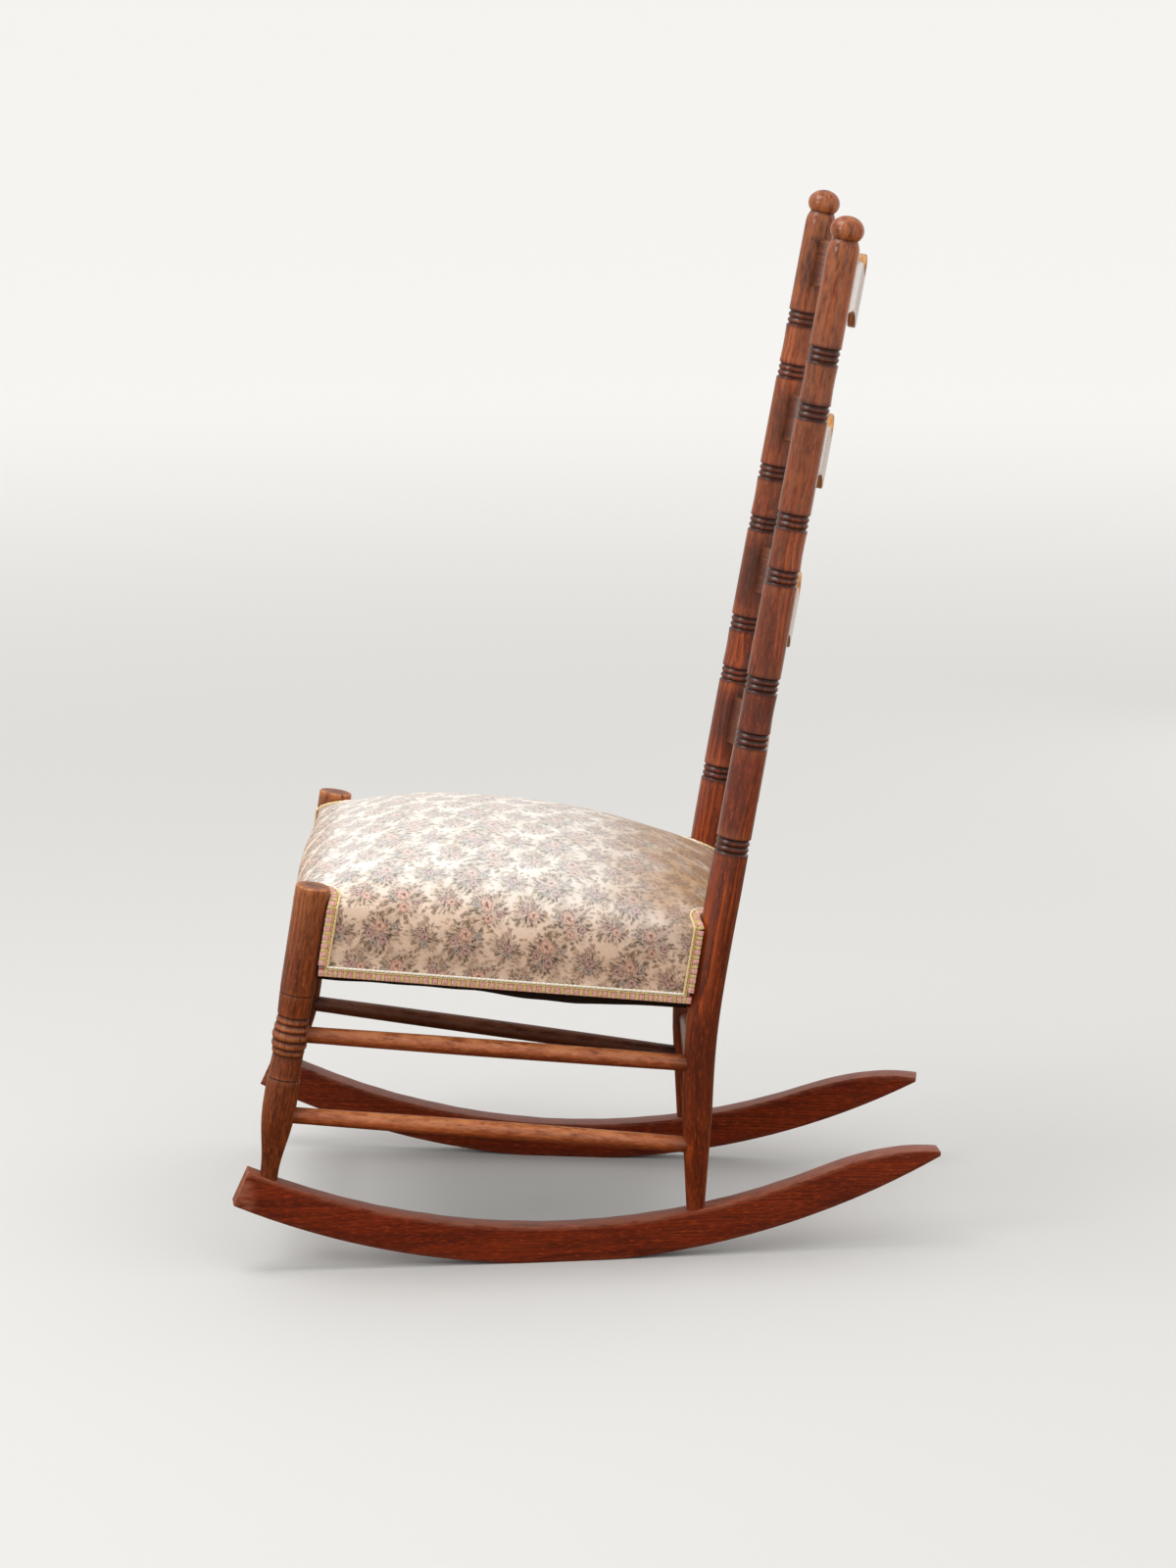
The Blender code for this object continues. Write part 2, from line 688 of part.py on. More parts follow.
def edge_ease(share):
    reach = abs(share) / EASE_REACH
    return (1.0 - reach ** 2) ** 2 if reach < 1.0 else 0.0


def wall_bulge(across, along, height):
    held = GIMP_WIDTH + CLEARANCE
    share = max(height - held, 0.0) / (wall_height(along) - held)
    swell = math.sin(math.pi * share) ** 2
    if along < -EDGE_SHARE:
        push = COVER_FRONT_BULGE * swell * edge_ease(across) + share * front_roll(across, along)
        return Vector((0.0, -push))
    if along > EDGE_SHARE:
        return Vector((0.0, COVER_SIDE_BULGE * swell * edge_ease(across)))
    return Vector((math.copysign(COVER_SIDE_BULGE * swell * edge_ease(along), across), 0.0))


# The crowned top is a grid drawn closer together towards its edges, and its border drops as the walls
def crowned_sheet(stations, inset, floor):
    plan = seat_plan(wall_out() - inset)
    work = bmesh.new()
    bmesh.ops.create_grid(work, x_segments=stations, y_segments=stations, size=1.0)
    shares = {}
    for vert in work.verts:
        across, along = math.sin(0.5 * math.pi * vert.co.x), math.sin(0.5 * math.pi * vert.co.y)
        spot = on_plan(plan, across, along) - Vector((0.0, front_roll(across, along)))
        vert.co = (spot.x, spot.y, wall_height(along) - inset + crown_height(across, along))
        shares[vert] = (across, along)
    rim = [edge for edge in work.edges if edge.is_boundary]
    held = GIMP_WIDTH + CLEARANCE
    for level in (*COVER_WALL_LEVELS, held / COVER_FRONT_WALL, 0.0):
        dropped = bmesh.ops.extrude_edge_only(work, edges=rim)["geom"]
        rim = [item for item in dropped if isinstance(item, bmesh.types.BMEdge) and item.is_boundary]
        fresh = [item for item in dropped if isinstance(item, bmesh.types.BMVert)]
        for vert in fresh:
            near = min(shares, key=lambda other: (other.co.xy - vert.co.xy).length)
            shares[vert] = shares[near]
        for vert in fresh:
            across, along = shares[vert]
            height = max(level * wall_height(along), floor)
            spot = on_plan(plan, across, along) + wall_bulge(across, along, height)
            vert.co = (spot.x, spot.y, height)
        if level * COVER_REAR_WALL <= floor:
            break
    return work, rim


def make_cover(seat):
    work, _ = crowned_sheet(COVER_STATIONS, 0.0, 0.0)
    made = place("seat_cover", mesh_from(work, "seat_cover"), TAPESTRY, None, seat)
    wall = made.modifiers.new("cloth", "SOLIDIFY")
    wall.thickness = COVER_THICKNESS
    wall.offset = -1.0
    wall.use_even_offset = True
    return made


def hessian_floor():
    return RAIL_HEIGHT + 2.0 * CLEARANCE + WEB_THICKNESS + WEB_WEAVE


def make_stuffing(seat):
    inset = COVER_THICKNESS + STUFFING_GAP
    floor = hessian_floor() + HESSIAN_THICKNESS + CLEARANCE
    work, rim = crowned_sheet(STUFFING_STATIONS, inset, floor)
    bmesh.ops.edgeloop_fill(work, edges=rim)
    bmesh.ops.recalc_face_normals(work, faces=work.faces)
    return place("seat_stuffing", mesh_from(work, "seat_stuffing"), HAIR, None, seat)


def flat_sheet(name, out, height, sag, thickness, finish, seat):
    plan = seat_plan(out)
    stations = SHEET_STATIONS if sag else 1
    work = bmesh.new()
    bmesh.ops.create_grid(work, x_segments=stations, y_segments=stations, size=1.0)
    for vert in work.verts:
        across, along = vert.co.x, vert.co.y
        spot = on_plan(plan, across, along)
        vert.co = (spot.x, spot.y, height - sag * edge_ease(across) * edge_ease(along))
    made = place(name, mesh_from(work, name), finish, None, seat)
    cloth = made.modifiers.new("cloth", "SOLIDIFY")
    cloth.thickness = thickness
    cloth.offset = 0.0
    return made


def strap_weave(place_along, own, pitch):
    total = 0.0
    for other in range(WEB_COUNT):
        middle = (other - 0.5 * (WEB_COUNT - 1)) * pitch
        reach = abs(place_along - middle) / WEB_WEAVE_RUN
        if reach < 1.0:
            total += (-1.0) ** (own + other) * math.cos(0.5 * math.pi * reach) ** 2
    return WEB_WEAVE * total


def make_strap(name, start, end, lift, seat):
    along, across = (end - start), Vector((start.y - end.y, end.x - start.x)).normalized()
    work = bmesh.new()
    bmesh.ops.create_grid(work, x_segments=STRAP_STATIONS, y_segments=1, size=1.0)
    for vert in work.verts:
        spot = start + along * 0.5 * (vert.co.x + 1.0) + across * vert.co.y * 0.5 * WEB_WIDTH
        vert.co = (spot.x, spot.y, lift(spot))
    made = place(name, mesh_from(work, name), JUTE, None, seat)
    cloth = made.modifiers.new("strap", "SOLIDIFY")
    cloth.thickness = WEB_THICKNESS
    cloth.offset = 0.0


def make_webbing(seat):
    base = RAIL_HEIGHT + CLEARANCE + 0.5 * WEB_THICKNESS
    plan = seat_plan(0.5 * RAIL_THICKNESS - DUST_COVER_MARGIN)
    y_front, y_rear = plan[0], plan[1]
    middle = 0.5 * (y_front + y_rear)
    for own in range(WEB_COUNT):
        offset = own - 0.5 * (WEB_COUNT - 1)
        across = offset * WEB_LONG_PITCH
        make_strap("long_webbing_%d" % (own + 1), Vector((across, y_front)), Vector((across, y_rear)),
                   lambda spot: base + strap_weave(spot.y - middle, own, WEB_CROSS_PITCH), seat)
        along = middle + offset * WEB_CROSS_PITCH
        reach = on_plan(plan, 1.0, 2.0 * (along + 0.5 * WEB_WIDTH - y_front) / (y_rear - y_front) - 1.0).x
        make_strap("cross_webbing_%d" % (own + 1), Vector((reach, along)), Vector((-reach, along)),
                   lambda spot: base - strap_weave(spot.x, own, WEB_LONG_PITCH), seat)


# Each corner of the upholstery is cut away round its leg, and outside it
def corner_cutters(name, axis, side, radius, rearward, seat):
    low, high = seat_crossing(axis, side, 0.0), seat_crossing(axis, side, COVER_REAR_WALL)
    length = 4.0 * COVER_REAR_WALL
    frame = frame_at(0.5 * (low + high), high - low)
    rod = place_cutter(name + "_round", rod_mesh(name + "_round", radius + CLEARANCE, length), frame, seat)
    reach = 3.0 * radius
    shift = Matrix.Translation((0.5 * side * reach, 0.5 * rearward * reach, 0.0))
    block = box_mesh(name + "_corner", reach, reach, length)
    return [rod, place_cutter(name + "_corner", block, frame @ shift, seat)]


# Gimp: one band along the foot of a wall and up beside both legs, as a flat outline on that wall.
# Each end is (axis, side, radius, along) of the leg or post that it runs up beside
def make_gimp(name, first, second, seat):
    start = seat_crossing(first[0], first[1], 0.5 * RAIL_HEIGHT)
    end = seat_crossing(second[0], second[1], 0.5 * RAIL_HEIGHT)
    along = (end - start).normalized()
    outward = along.cross(UP)
    origin = start - UP * start.z + outward * (wall_out() + CLEARANCE + 0.5 * GIMP_THICKNESS)
    turn = Matrix((along, UP, outward)).transposed().to_4x4()
    edges = []
    for (axis, side, radius, place_along), way in ((first, 1.0), (second, -1.0)):
        top = wall_height(place_along) - GIMP_TOP_MARGIN
        spots = [seat_crossing(axis, side, height) for height in (0.0, top)]
        low, high = [(spot - start).dot(along) + way * (radius + CLEARANCE) for spot in spots]
        edges.append((low, high, top, way * GIMP_WIDTH))
    (low, high, top, width), (far_low, far_high, far_top, far_width) = edges
    outline = [(low, 0.0), (far_low, 0.0), (far_high, far_top), (far_high + far_width, far_top)]
    outline += [(far_low + far_width, GIMP_WIDTH), (low + width, GIMP_WIDTH)]
    outline += [(high + width, top), (high, top)]
    mesh = board_mesh(name, outline, GIMP_THICKNESS)
    return place(name, mesh, BRAID, Matrix.Translation(origin) @ turn, seat)


# How far a leg's axis runs down through the rocker, from its upper edge to its lower one
def rocker_crossing(side, foot, upward):
    inward = rocker_matrix(side).inverted()
    low, high = 0.0, 2.0 * ROCKER_DEPTH
    for _ in range(SEARCH_STEPS):
        trial = 0.5 * (low + high)
        spot = inward @ (foot - upward * trial)
        if spot.y > rocker_bottom(spot.x):
            low = trial
        else:
            high = trial
    return low


# A screw driven up through the rocker into the end of the leg, with its head in a counterbore
def make_foot_screw(name, side, foot, upward, rocker, leg):
    bottom = rocker_crossing(side, foot, upward)
    seat_depth = bottom - SCREW_RECESS
    top = SCREW_REACH - FOOT_SOCKET_DEPTH
    profile = [(top, 0.25 * SCREW_RADIUS), (top - SCREW_POINT, SCREW_RADIUS), (-seat_depth, SCREW_RADIUS),
               (-seat_depth, SCREW_HEAD_RADIUS), (-seat_depth - SCREW_HEAD_HEIGHT, SCREW_HEAD_RADIUS)]
    screw = place(name, turned_mesh(name, profile), STEEL, frame_at(foot, upward))
    spin(screw, SCREW_STEPS)
    length = top + CLEARANCE + bottom
    pilot_middle = foot + upward * (top + CLEARANCE - 0.5 * length)
    pilot = rod_mesh(name + "_pilot", SCREW_RADIUS + CLEARANCE, length)
    pilot_cutter = place_cutter(name + "_pilot", pilot, frame_at(pilot_middle, upward))
    combine(rocker, pilot_cutter)
    combine(leg, pilot_cutter)
    bore_length = 2.0 * SCREW_RECESS
    bore_middle = foot - upward * (seat_depth - CLEARANCE + 0.5 * bore_length)
    bore = rod_mesh(name + "_counterbore", SCREW_HEAD_RADIUS + CLEARANCE, bore_length)
    combine(rocker, place_cutter(name + "_counterbore", bore, frame_at(bore_middle, upward)))


def fit_foot(name, side, foot, upward, radius, rocker, leg):
    rod = rod_mesh(name + "_socket", radius + CLEARANCE, 2.0 * FOOT_SOCKET_DEPTH)
    combine(rocker, place_cutter(name + "_socket", rod, frame_at(foot, upward)))
    make_foot_screw(name + "_rocker_screw", side, foot, upward, rocker, leg)


def make_frame():
    legs, posts = {}, {}
    for name, side in both_sides():
        board = board_mesh(name + "_rocker", rocker_outline(), ROCKER_THICKNESS)
        rocker = place(name + "_rocker", board, WALNUT, rocker_matrix(side))
        legs[side], posts[side] = make_leg(name, side), make_post(name, side)
        foot = leg_foot(side)
        fit_foot(name + "_front", side, foot, (leg_top(side) - foot).normalized(), LEG_FOOT_RADIUS, rocker,
                 legs[side])
        foot = post_foot(side)
        upward = foot - post_axis(side, foot.z - FOOT_SOCKET_DEPTH)
        fit_foot(name + "_rear", side, foot, upward.normalized(), POST_FOOT_RADIUS, rocker, posts[side])
    return legs, posts


def make_slats(posts):
    for index in range(SLAT_COUNT):
        name = "back_slat_%d" % (index + 1)
        slat_object(name, index, 0.0, False)
        mortise = slat_object(name + "_mortise", index, CLEARANCE, True)
        for post in posts.values():
            combine(post, mortise)


def make_rungs(legs, posts):
    for name, side in both_sides():
        make_rung(name + "_upper_stretcher", leg_axis(side, SIDE_UPPER_FRONT_Z),
                  post_axis(side, SIDE_UPPER_REAR_Z), legs[side], posts[side])
        make_rung(name + "_lower_stretcher", leg_axis(side, SIDE_LOWER_FRONT_Z),
                  post_axis(side, SIDE_LOWER_REAR_Z), legs[side], posts[side])
    for name, height in (("front_upper_stretcher", FRONT_UPPER_Z), ("front_lower_stretcher", FRONT_LOWER_Z)):
        make_rung(name, leg_axis(1.0, height), leg_axis(-1.0, height), legs[1.0], legs[-1.0])
    make_rung("rear_stretcher", post_axis(1.0, REAR_RUNG_Z), post_axis(-1.0, REAR_RUNG_Z), posts[1.0],
              posts[-1.0])


def make_seat(legs, posts):
    seat = bpy.data.objects.new("seat_plane", None)
    PARTS.objects.link(seat)
    seat.matrix_world = seat_matrix()
    front = {side: (leg_axis, side, LEG_RADIUS, legs[side]) for side in legs}
    rear = {side: (post_axis, side, POST_SEAT_RADIUS, posts[side]) for side in posts}
    make_rail("front_seat_rail", front[1.0], front[-1.0], seat)
    make_rail("rear_seat_rail", rear[1.0], rear[-1.0], seat)
    for name, side in both_sides():
        make_rail(name + "_seat_rail", front[side], rear[side], seat)
    make_webbing(seat)
    rail_edge = 0.5 * RAIL_THICKNESS - DUST_COVER_MARGIN
    above = hessian_floor() + 0.5 * HESSIAN_THICKNESS
    below = -CLEARANCE - 0.5 * DUST_COVER_THICKNESS
    sheets = [flat_sheet("seat_hessian", rail_edge, above, 0.0, HESSIAN_THICKNESS, JUTE, seat),
              flat_sheet("dust_cover", rail_edge, below, DUST_COVER_SAG, DUST_COVER_THICKNESS, BLACK_CLOTH,
                         seat),
              make_stuffing(seat), make_cover(seat)]
    for name, side in both_sides():
        corners = corner_cutters(name + "_front", leg_axis, side, LEG_RADIUS, -1.0, seat)
        corners += corner_cutters(name + "_rear", post_axis, side, POST_SEAT_RADIUS, 1.0, seat)
        for sheet in sheets:
            for corner in corners:
                combine(sheet, corner)
    legs_at = {side: (leg_axis, side, LEG_RADIUS, -1.0) for side in legs}
    posts_at = {side: (post_axis, side, POST_SEAT_RADIUS, 1.0) for side in posts}
    make_gimp("left_gimp", legs_at[1.0], posts_at[1.0], seat)
    make_gimp("right_gimp", posts_at[-1.0], legs_at[-1.0], seat)
    make_gimp("front_gimp", legs_at[-1.0], legs_at[1.0], seat)
    make_gimp("rear_gimp", posts_at[1.0], posts_at[-1.0], seat)


clear_scene()
PARTS = new_collection("ladder_back_rocking_chair")
CUTTERS = new_collection("cutters")
chair_legs, chair_posts = make_frame()
make_slats(chair_posts)
make_rungs(chair_legs, chair_posts)
make_seat(chair_legs, chair_posts)
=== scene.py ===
import math

import bpy
import numpy as np
from mathutils import Matrix, Vector


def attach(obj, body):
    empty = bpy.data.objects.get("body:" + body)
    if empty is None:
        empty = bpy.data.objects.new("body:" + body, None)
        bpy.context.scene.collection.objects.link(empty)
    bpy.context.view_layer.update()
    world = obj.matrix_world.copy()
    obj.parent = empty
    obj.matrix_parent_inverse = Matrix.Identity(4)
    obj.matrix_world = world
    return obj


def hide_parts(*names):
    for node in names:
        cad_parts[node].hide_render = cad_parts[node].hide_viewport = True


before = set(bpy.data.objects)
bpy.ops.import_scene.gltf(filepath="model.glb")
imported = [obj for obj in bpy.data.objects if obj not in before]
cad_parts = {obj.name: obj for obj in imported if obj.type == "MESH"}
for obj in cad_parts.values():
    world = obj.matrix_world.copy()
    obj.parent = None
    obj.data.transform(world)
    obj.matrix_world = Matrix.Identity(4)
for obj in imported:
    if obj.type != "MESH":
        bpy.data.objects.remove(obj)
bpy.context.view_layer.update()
up = Vector((0.0, 0.0, 1.0))
across = Vector((1.0, 0.0, 0.0))
bothSides = (("left", 1.0), ("right", -1.0))
print("frame loaded:", len(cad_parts), "nodes")


# Small helpers for modelling

def deselectAll():
    bpy.ops.object.select_all(action="DESELECT")


def namePiece(name):
    piece = bpy.context.object
    piece.name = name
    piece.data.name = name
    return piece


def makeActive(piece):
    deselectAll()
    piece.select_set(True)
    bpy.context.view_layer.objects.active = piece


def finishWith(piece, kind, **settings):
    makeActive(piece)
    made = piece.modifiers.new(kind.lower(), kind)
    for key, value in settings.items():
        setattr(made, key, value)
    bpy.ops.object.modifier_apply(modifier=made.name)


def spotsOf(piece):
    coords = np.empty(len(piece.data.vertices) * 3, dtype=np.float32)
    piece.data.vertices.foreach_get("co", coords)
    return coords.reshape(-1, 3).astype(float)


def moveSpots(piece, coords):
    piece.data.vertices.foreach_set("co", np.asarray(coords, dtype=np.float32).ravel())
    piece.data.update()


def storeValues(piece, name, values):
    layer = piece.data.attributes.new(name, "FLOAT", "POINT")
    layer.data.foreach_set("value", np.asarray(values, dtype=np.float32).ravel())


def storeVectors(piece, name, values):
    layer = piece.data.attributes.new(name, "FLOAT_VECTOR", "POINT")
    layer.data.foreach_set("vector", np.asarray(values, dtype=np.float32).ravel())


def copyPiece(piece, name):
    makeActive(piece)
    bpy.ops.object.duplicate(linked=False)
    return namePiece(name)


def joinPieces(pieces, name):
    deselectAll()
    for piece in pieces:
        piece.select_set(True)
    bpy.context.view_layer.objects.active = pieces[0]
    bpy.ops.object.join()
    return namePiece(name)


def cleanMesh(piece):  # doubles merged, faces pointing outwards
    makeActive(piece)
    bpy.ops.object.mode_set(mode="EDIT")
    bpy.ops.mesh.select_all(action="SELECT")
    bpy.ops.mesh.remove_doubles(threshold=0.000002)
    bpy.ops.mesh.normals_make_consistent(inside=False)
    bpy.ops.object.mode_set(mode="OBJECT")


def smoothShade(piece, degrees=50.0):
    makeActive(piece)
    bpy.ops.object.shade_smooth_by_angle(angle=math.radians(degrees))


def addGrid(name, alongX, alongY):
    deselectAll()
    bpy.ops.mesh.primitive_grid_add(x_subdivisions=alongX, y_subdivisions=alongY, size=2.0)
    return namePiece(name)


def seat(piece, nodes, material):  # rides on the chair in place of its CAD nodes
    piece.data.materials.clear()
    piece.data.materials.append(material)
    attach(piece, "root")
    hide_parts(*nodes)


def linear(red, green, blue):  # a colour written as 0 to 255
    def one(value):
        value /= 255.0
        return value / 12.92 if value <= 0.04045 else ((value + 0.055) / 1.055) ** 2.4
    return one(red), one(green), one(blue), 1.0


def unit(values):
    return np.clip(values, 0.0, 1.0)


def within(distance, reach):  # 1 at the thing itself, 0 from the reach on
    return unit(1.0 - distance / reach)


def beyond(values, start, run):  # 0 up to the start, 1 after the run
    return unit((values - start) / run)


def ripple(points, size, seed):  # smooth bumps between -1 and 1
    turns = np.random.default_rng(seed)
    total = np.zeros(len(points))
    for _ in range(10):
        way = turns.normal(size=3)
        way /= np.linalg.norm(way)
        spread = points @ way * (math.tau / size) * turns.uniform(0.6, 1.5)
        total += np.sin(spread + turns.uniform(0, 6.3))
    return total / 5.0


# Small helpers for shader nodes

black = (0.0, 0.0, 0.0, 1.0)
nowhere = (0.0, 0.0, 0.0)
halfway = (0.5, 0.5, 0.5)


def addNode(tree, kind, **settings):
    node = tree.nodes.new(kind)
    for key, value in settings.items():
        setattr(node, key, value)
    return node


def feed(tree, socket, value):
    if isinstance(value, bpy.types.NodeSocket):
        tree.links.new(value, socket)
    else:
        socket.default_value = value


def setSockets(node, values):
    for label, value in values.items():
        node.inputs[label].default_value = value


def give(tree, sockets, **values):
    for label, value in values.items():
        feed(tree, sockets[label], value)


def calc(tree, operation, first, second=0.0, third=0.0, clamp=False):
    node = addNode(tree, "ShaderNodeMath", operation=operation, use_clamp=clamp)
    for socket, value in zip(node.inputs, (first, second, third)):
        feed(tree, socket, value)
    return node.outputs[0]


def vectorCalc(tree, operation, first, second=nowhere, scale=None):
    node = addNode(tree, "ShaderNodeVectorMath", operation=operation)
    feed(tree, node.inputs[0], first)
    feed(tree, node.inputs[1], second)
    if scale is not None:
        feed(tree, node.inputs["Scale"], scale)
    return node.outputs["Value" if operation == "LENGTH" else "Vector"]


def times(tree, first, second, clamp=False):
    return calc(tree, "MULTIPLY", first, second, clamp=clamp)


def plus(tree, first, second, clamp=False):
    return calc(tree, "ADD", first, second, clamp=clamp)


def timesPlus(tree, first, second, third):
    return calc(tree, "MULTIPLY_ADD", first, second, third)


def sineOf(tree, value, rate):
    return calc(tree, "SINE", times(tree, value, rate))


def stretch(tree, vector, factors):
    return vectorCalc(tree, "MULTIPLY", vector, factors)


def shifted(tree, vector, shift):
    return vectorCalc(tree, "ADD", vector, shift)


def scaled(tree, vector, scale):
    return vectorCalc(tree, "SCALE", vector, scale=scale)


def ease(tree, value, low, high, start=0.0, end=1.0):
    node = addNode(tree, "ShaderNodeMapRange", interpolation_type="SMOOTHSTEP")
    for socket, given in zip(node.inputs, (value, low, high, start, end)):
        feed(tree, socket, given)
    return node.outputs[0]


def blend(tree, factor, first, second, mode="MIX"):
    node = addNode(tree, "ShaderNodeMix", data_type="RGBA", blend_type=mode)
    feed(tree, node.inputs[0], factor)
    feed(tree, node.inputs[6], first)
    feed(tree, node.inputs[7], second)
    return node.outputs[2]


def noiseOn(tree, vector, scale=1.0, detail=2.0, roughness=0.5, output="Fac"):
    node = addNode(tree, "ShaderNodeTexNoise")
    feed(tree, node.inputs["Vector"], vector)
    setSockets(node, {"Scale": scale, "Detail": detail, "Roughness": roughness})
    return node.outputs[output]


def driftOn(tree, vector, scale, detail):  # three noises at once, as a vector
    return noiseOn(tree, vector, scale, detail, output="Color")


def cellsOn(tree, vector):
    node = addNode(tree, "ShaderNodeTexVoronoi", feature="F1")
    feed(tree, node.inputs["Vector"], vector)
    node.inputs["Scale"].default_value = 1.0
    return node.outputs["Distance"], node.outputs["Color"]


def parts(tree, vector):
    node = addNode(tree, "ShaderNodeSeparateXYZ")
    feed(tree, node.inputs[0], vector)
    return node.outputs


def joined(tree, first=0.0, second=0.0, third=0.0):
    node = addNode(tree, "ShaderNodeCombineXYZ")
    for socket, value in zip(node.inputs, (first, second, third)):
        feed(tree, socket, value)
    return node.outputs[0]


def ramp(tree, value, stops, constant=False):
    node = addNode(tree, "ShaderNodeValToRGB")
    node.color_ramp.interpolation = "CONSTANT" if constant else "LINEAR"
    while len(node.color_ramp.elements) < len(stops):
        node.color_ramp.elements.new(0.5)
    for element, (place, colour) in zip(node.color_ramp.elements, stops):
        element.position = place
        element.color = colour
    feed(tree, node.inputs[0], value)
    return node.outputs[0]


def startGroup(name, inputs, outputs):
    tree = bpy.data.node_groups.new(name, "ShaderNodeTree")
    for label, kind, value in inputs:
        socket = tree.interface.new_socket(label, in_out="INPUT", socket_type="NodeSocket" + kind)
        socket.default_value = value
    for label, kind in outputs:
        tree.interface.new_socket(label, in_out="OUTPUT", socket_type="NodeSocket" + kind)
    return tree, addNode(tree, "NodeGroupInput").outputs, addNode(tree, "NodeGroupOutput").inputs


def useGroup(tree, group, **values):
    node = addNode(tree, "ShaderNodeGroup", node_tree=group)
    give(tree, node.inputs, **values)
    return node.outputs


def startMaterial(name):
    material = bpy.data.materials.new(name)
    material.use_nodes = True
    return material, material.node_tree, material.node_tree.nodes["Principled BSDF"]


def readAttribute(tree, name, socket="Vector"):
    return addNode(tree, "ShaderNodeAttribute", attribute_name=name).outputs[socket]


def ownPlace(tree):
    return addNode(tree, "ShaderNodeTexCoord").outputs["Object"]


def roughen(tree, shader, height, strength, distance):
    bump = addNode(tree, "ShaderNodeBump")
    setSockets(bump, {"Strength": strength, "Distance": distance})
    feed(tree, bump.inputs["Height"], height)
    feed(tree, shader.inputs["Normal"], bump.outputs[0])


# Stained and varnished wood: growth rings, fibre streaks, flecks, tone, worn edges and grime, whose masks on some
# pieces also carry painted highlight and painted shade

def makeWoodGroup():
    tree, given, result = startGroup(
        "stainedWood",
        (("Grain", "Vector", nowhere), ("Wear", "Float", 0.0), ("Grime", "Float", 0.0),
         ("Dark", "Color", black), ("Middle", "Color", black), ("Light", "Color", black), ("Worn", "Color", black),
         ("Figure", "Float", 1.0), ("Flecks", "Float", 1.0)),
        (("Colour", "Color"), ("Roughness", "Float"), ("Height", "Float")))
    grain = given["Grain"]

    def grainNoise(across, along, detail, roughness):
        return noiseOn(tree, stretch(tree, grain, (across, across, along)), 1.0, detail, roughness)

    drift = driftOn(tree, stretch(tree, grain, (1.0, 1.0, 0.16)), 42.0, 2.0)
    wander = scaled(tree, vectorCalc(tree, "SUBTRACT", drift, halfway), 0.012)
    flat = stretch(tree, shifted(tree, grain, wander), (1.0, 1.0, 0.0))
    ring = calc(tree, "FRACT", times(tree, vectorCalc(tree, "LENGTH", flat), 330.0))  # one ring in 3 mm
    ringBand = times(tree, calc(tree, "POWER", ring, 1.8), ease(tree, ring, 1.0, 0.86))
    fibre = grainNoise(760.0, 22.0, 3.0, 0.62)
    broad = grainNoise(170.0, 7.0, 2.0, 0.5)
    mottle = grainNoise(560.0, 120.0, 3.0, 0.66)
    tone = grainNoise(34.0, 9.0, 3.0, 0.55)
    smear = grainNoise(210.0, 60.0, 4.0, 0.62)
    fleckCell, fleckColour = cellsOn(tree, stretch(tree, grain, (1150.0, 1150.0, 260.0)))
    fleckPick = parts(tree, fleckColour)[0]
    fleck = times(tree, ease(tree, fleckCell, 0.36, 0.16), ease(tree, fleckPick, 0.42, 0.56))
    fleck = times(tree, fleck, given["Flecks"])
    shade = plus(tree, times(tree, fibre, 0.40), times(tree, broad, 0.34))
    shade = timesPlus(tree, mottle, 0.44, shade)
    colour = blend(tree, ease(tree, shade, 0.40, 0.80), given["Dark"], given["Middle"])
    lift = times(tree, times(tree, ringBand, ease(tree, tone, 0.42, 0.64)), given["Figure"])
    colour = blend(tree, times(tree, lift, 0.80), colour, given["Light"])
    glint = times(tree, ease(tree, mottle, 0.54, 0.72), 0.40)
    colour = blend(tree, glint, colour, given["Light"])
    colour = blend(tree, times(tree, ease(tree, tone, 0.50, 0.30), 0.40), colour, given["Dark"])
    deep = blend(tree, 0.72, given["Dark"], (0.004, 0.002, 0.0015, 1.0))
    colour = blend(tree, times(tree, fleck, 0.55), colour, deep)
    # wear mask: rubbed wood, and on the rungs' tops, the balls and the slats' crest partly a painted highlight
    rubbedAndLit = times(tree, given["Wear"], ease(tree, smear, 0.26, 0.66), clamp=True)
    colour = blend(tree, rubbedAndLit, colour, given["Worn"])
    blotch = times(tree, ease(tree, smear, 0.58, 0.74), 0.25)
    # grime mask: dirt, and on the rungs' undersides painted shade
    soiledAndShaded = calc(tree, "MAXIMUM", blotch, given["Grime"])
    soiledAndShaded = times(tree, soiledAndShaded, calc(tree, "SUBTRACT", 1.0, rubbedAndLit, clamp=True))
    colour = blend(tree, soiledAndShaded, colour, deep)
    rough = timesPlus(tree, smear, 0.18, 0.29)
    rough = plus(tree, rough, times(tree, rubbedAndLit, 0.15))
    rough = plus(tree, rough, times(tree, soiledAndShaded, 0.12), clamp=True)
    height = timesPlus(tree, fibre, 0.30, times(tree, mottle, 0.30))
    height = calc(tree, "SUBTRACT", height, times(tree, fleck, 0.30))
    give(tree, result, Colour=colour, Roughness=rough, Height=height)
    return tree


woodGroup = makeWoodGroup()


def makeWood(name, dark, middle, light, worn, figure, flecks, coat, polish, grain=None):
    material, tree, shader = startMaterial(name)
    vector = readAttribute(tree, "grain") if grain is None else grain(tree)
    wearAndLight = readAttribute(tree, "wearAndLight", "Fac") if grain is None else 0.0
    grimeAndShade = readAttribute(tree, "grimeAndShade", "Fac") if grain is None else 0.0
    made = useGroup(tree, woodGroup, Grain=vector, Wear=wearAndLight, Grime=grimeAndShade, Dark=linear(*dark),
                    Middle=linear(*middle), Light=linear(*light), Worn=linear(*worn), Figure=figure, Flecks=flecks)
    feed(tree, shader.inputs["Base Color"], made["Colour"])
    feed(tree, shader.inputs["Roughness"], made["Roughness"])
    setSockets(shader, {"Coat Weight": coat, "Coat Roughness": polish, "Specular IOR Level": 0.32})
    roughen(tree, shader, made["Height"], 0.5, 0.0006)
    return material


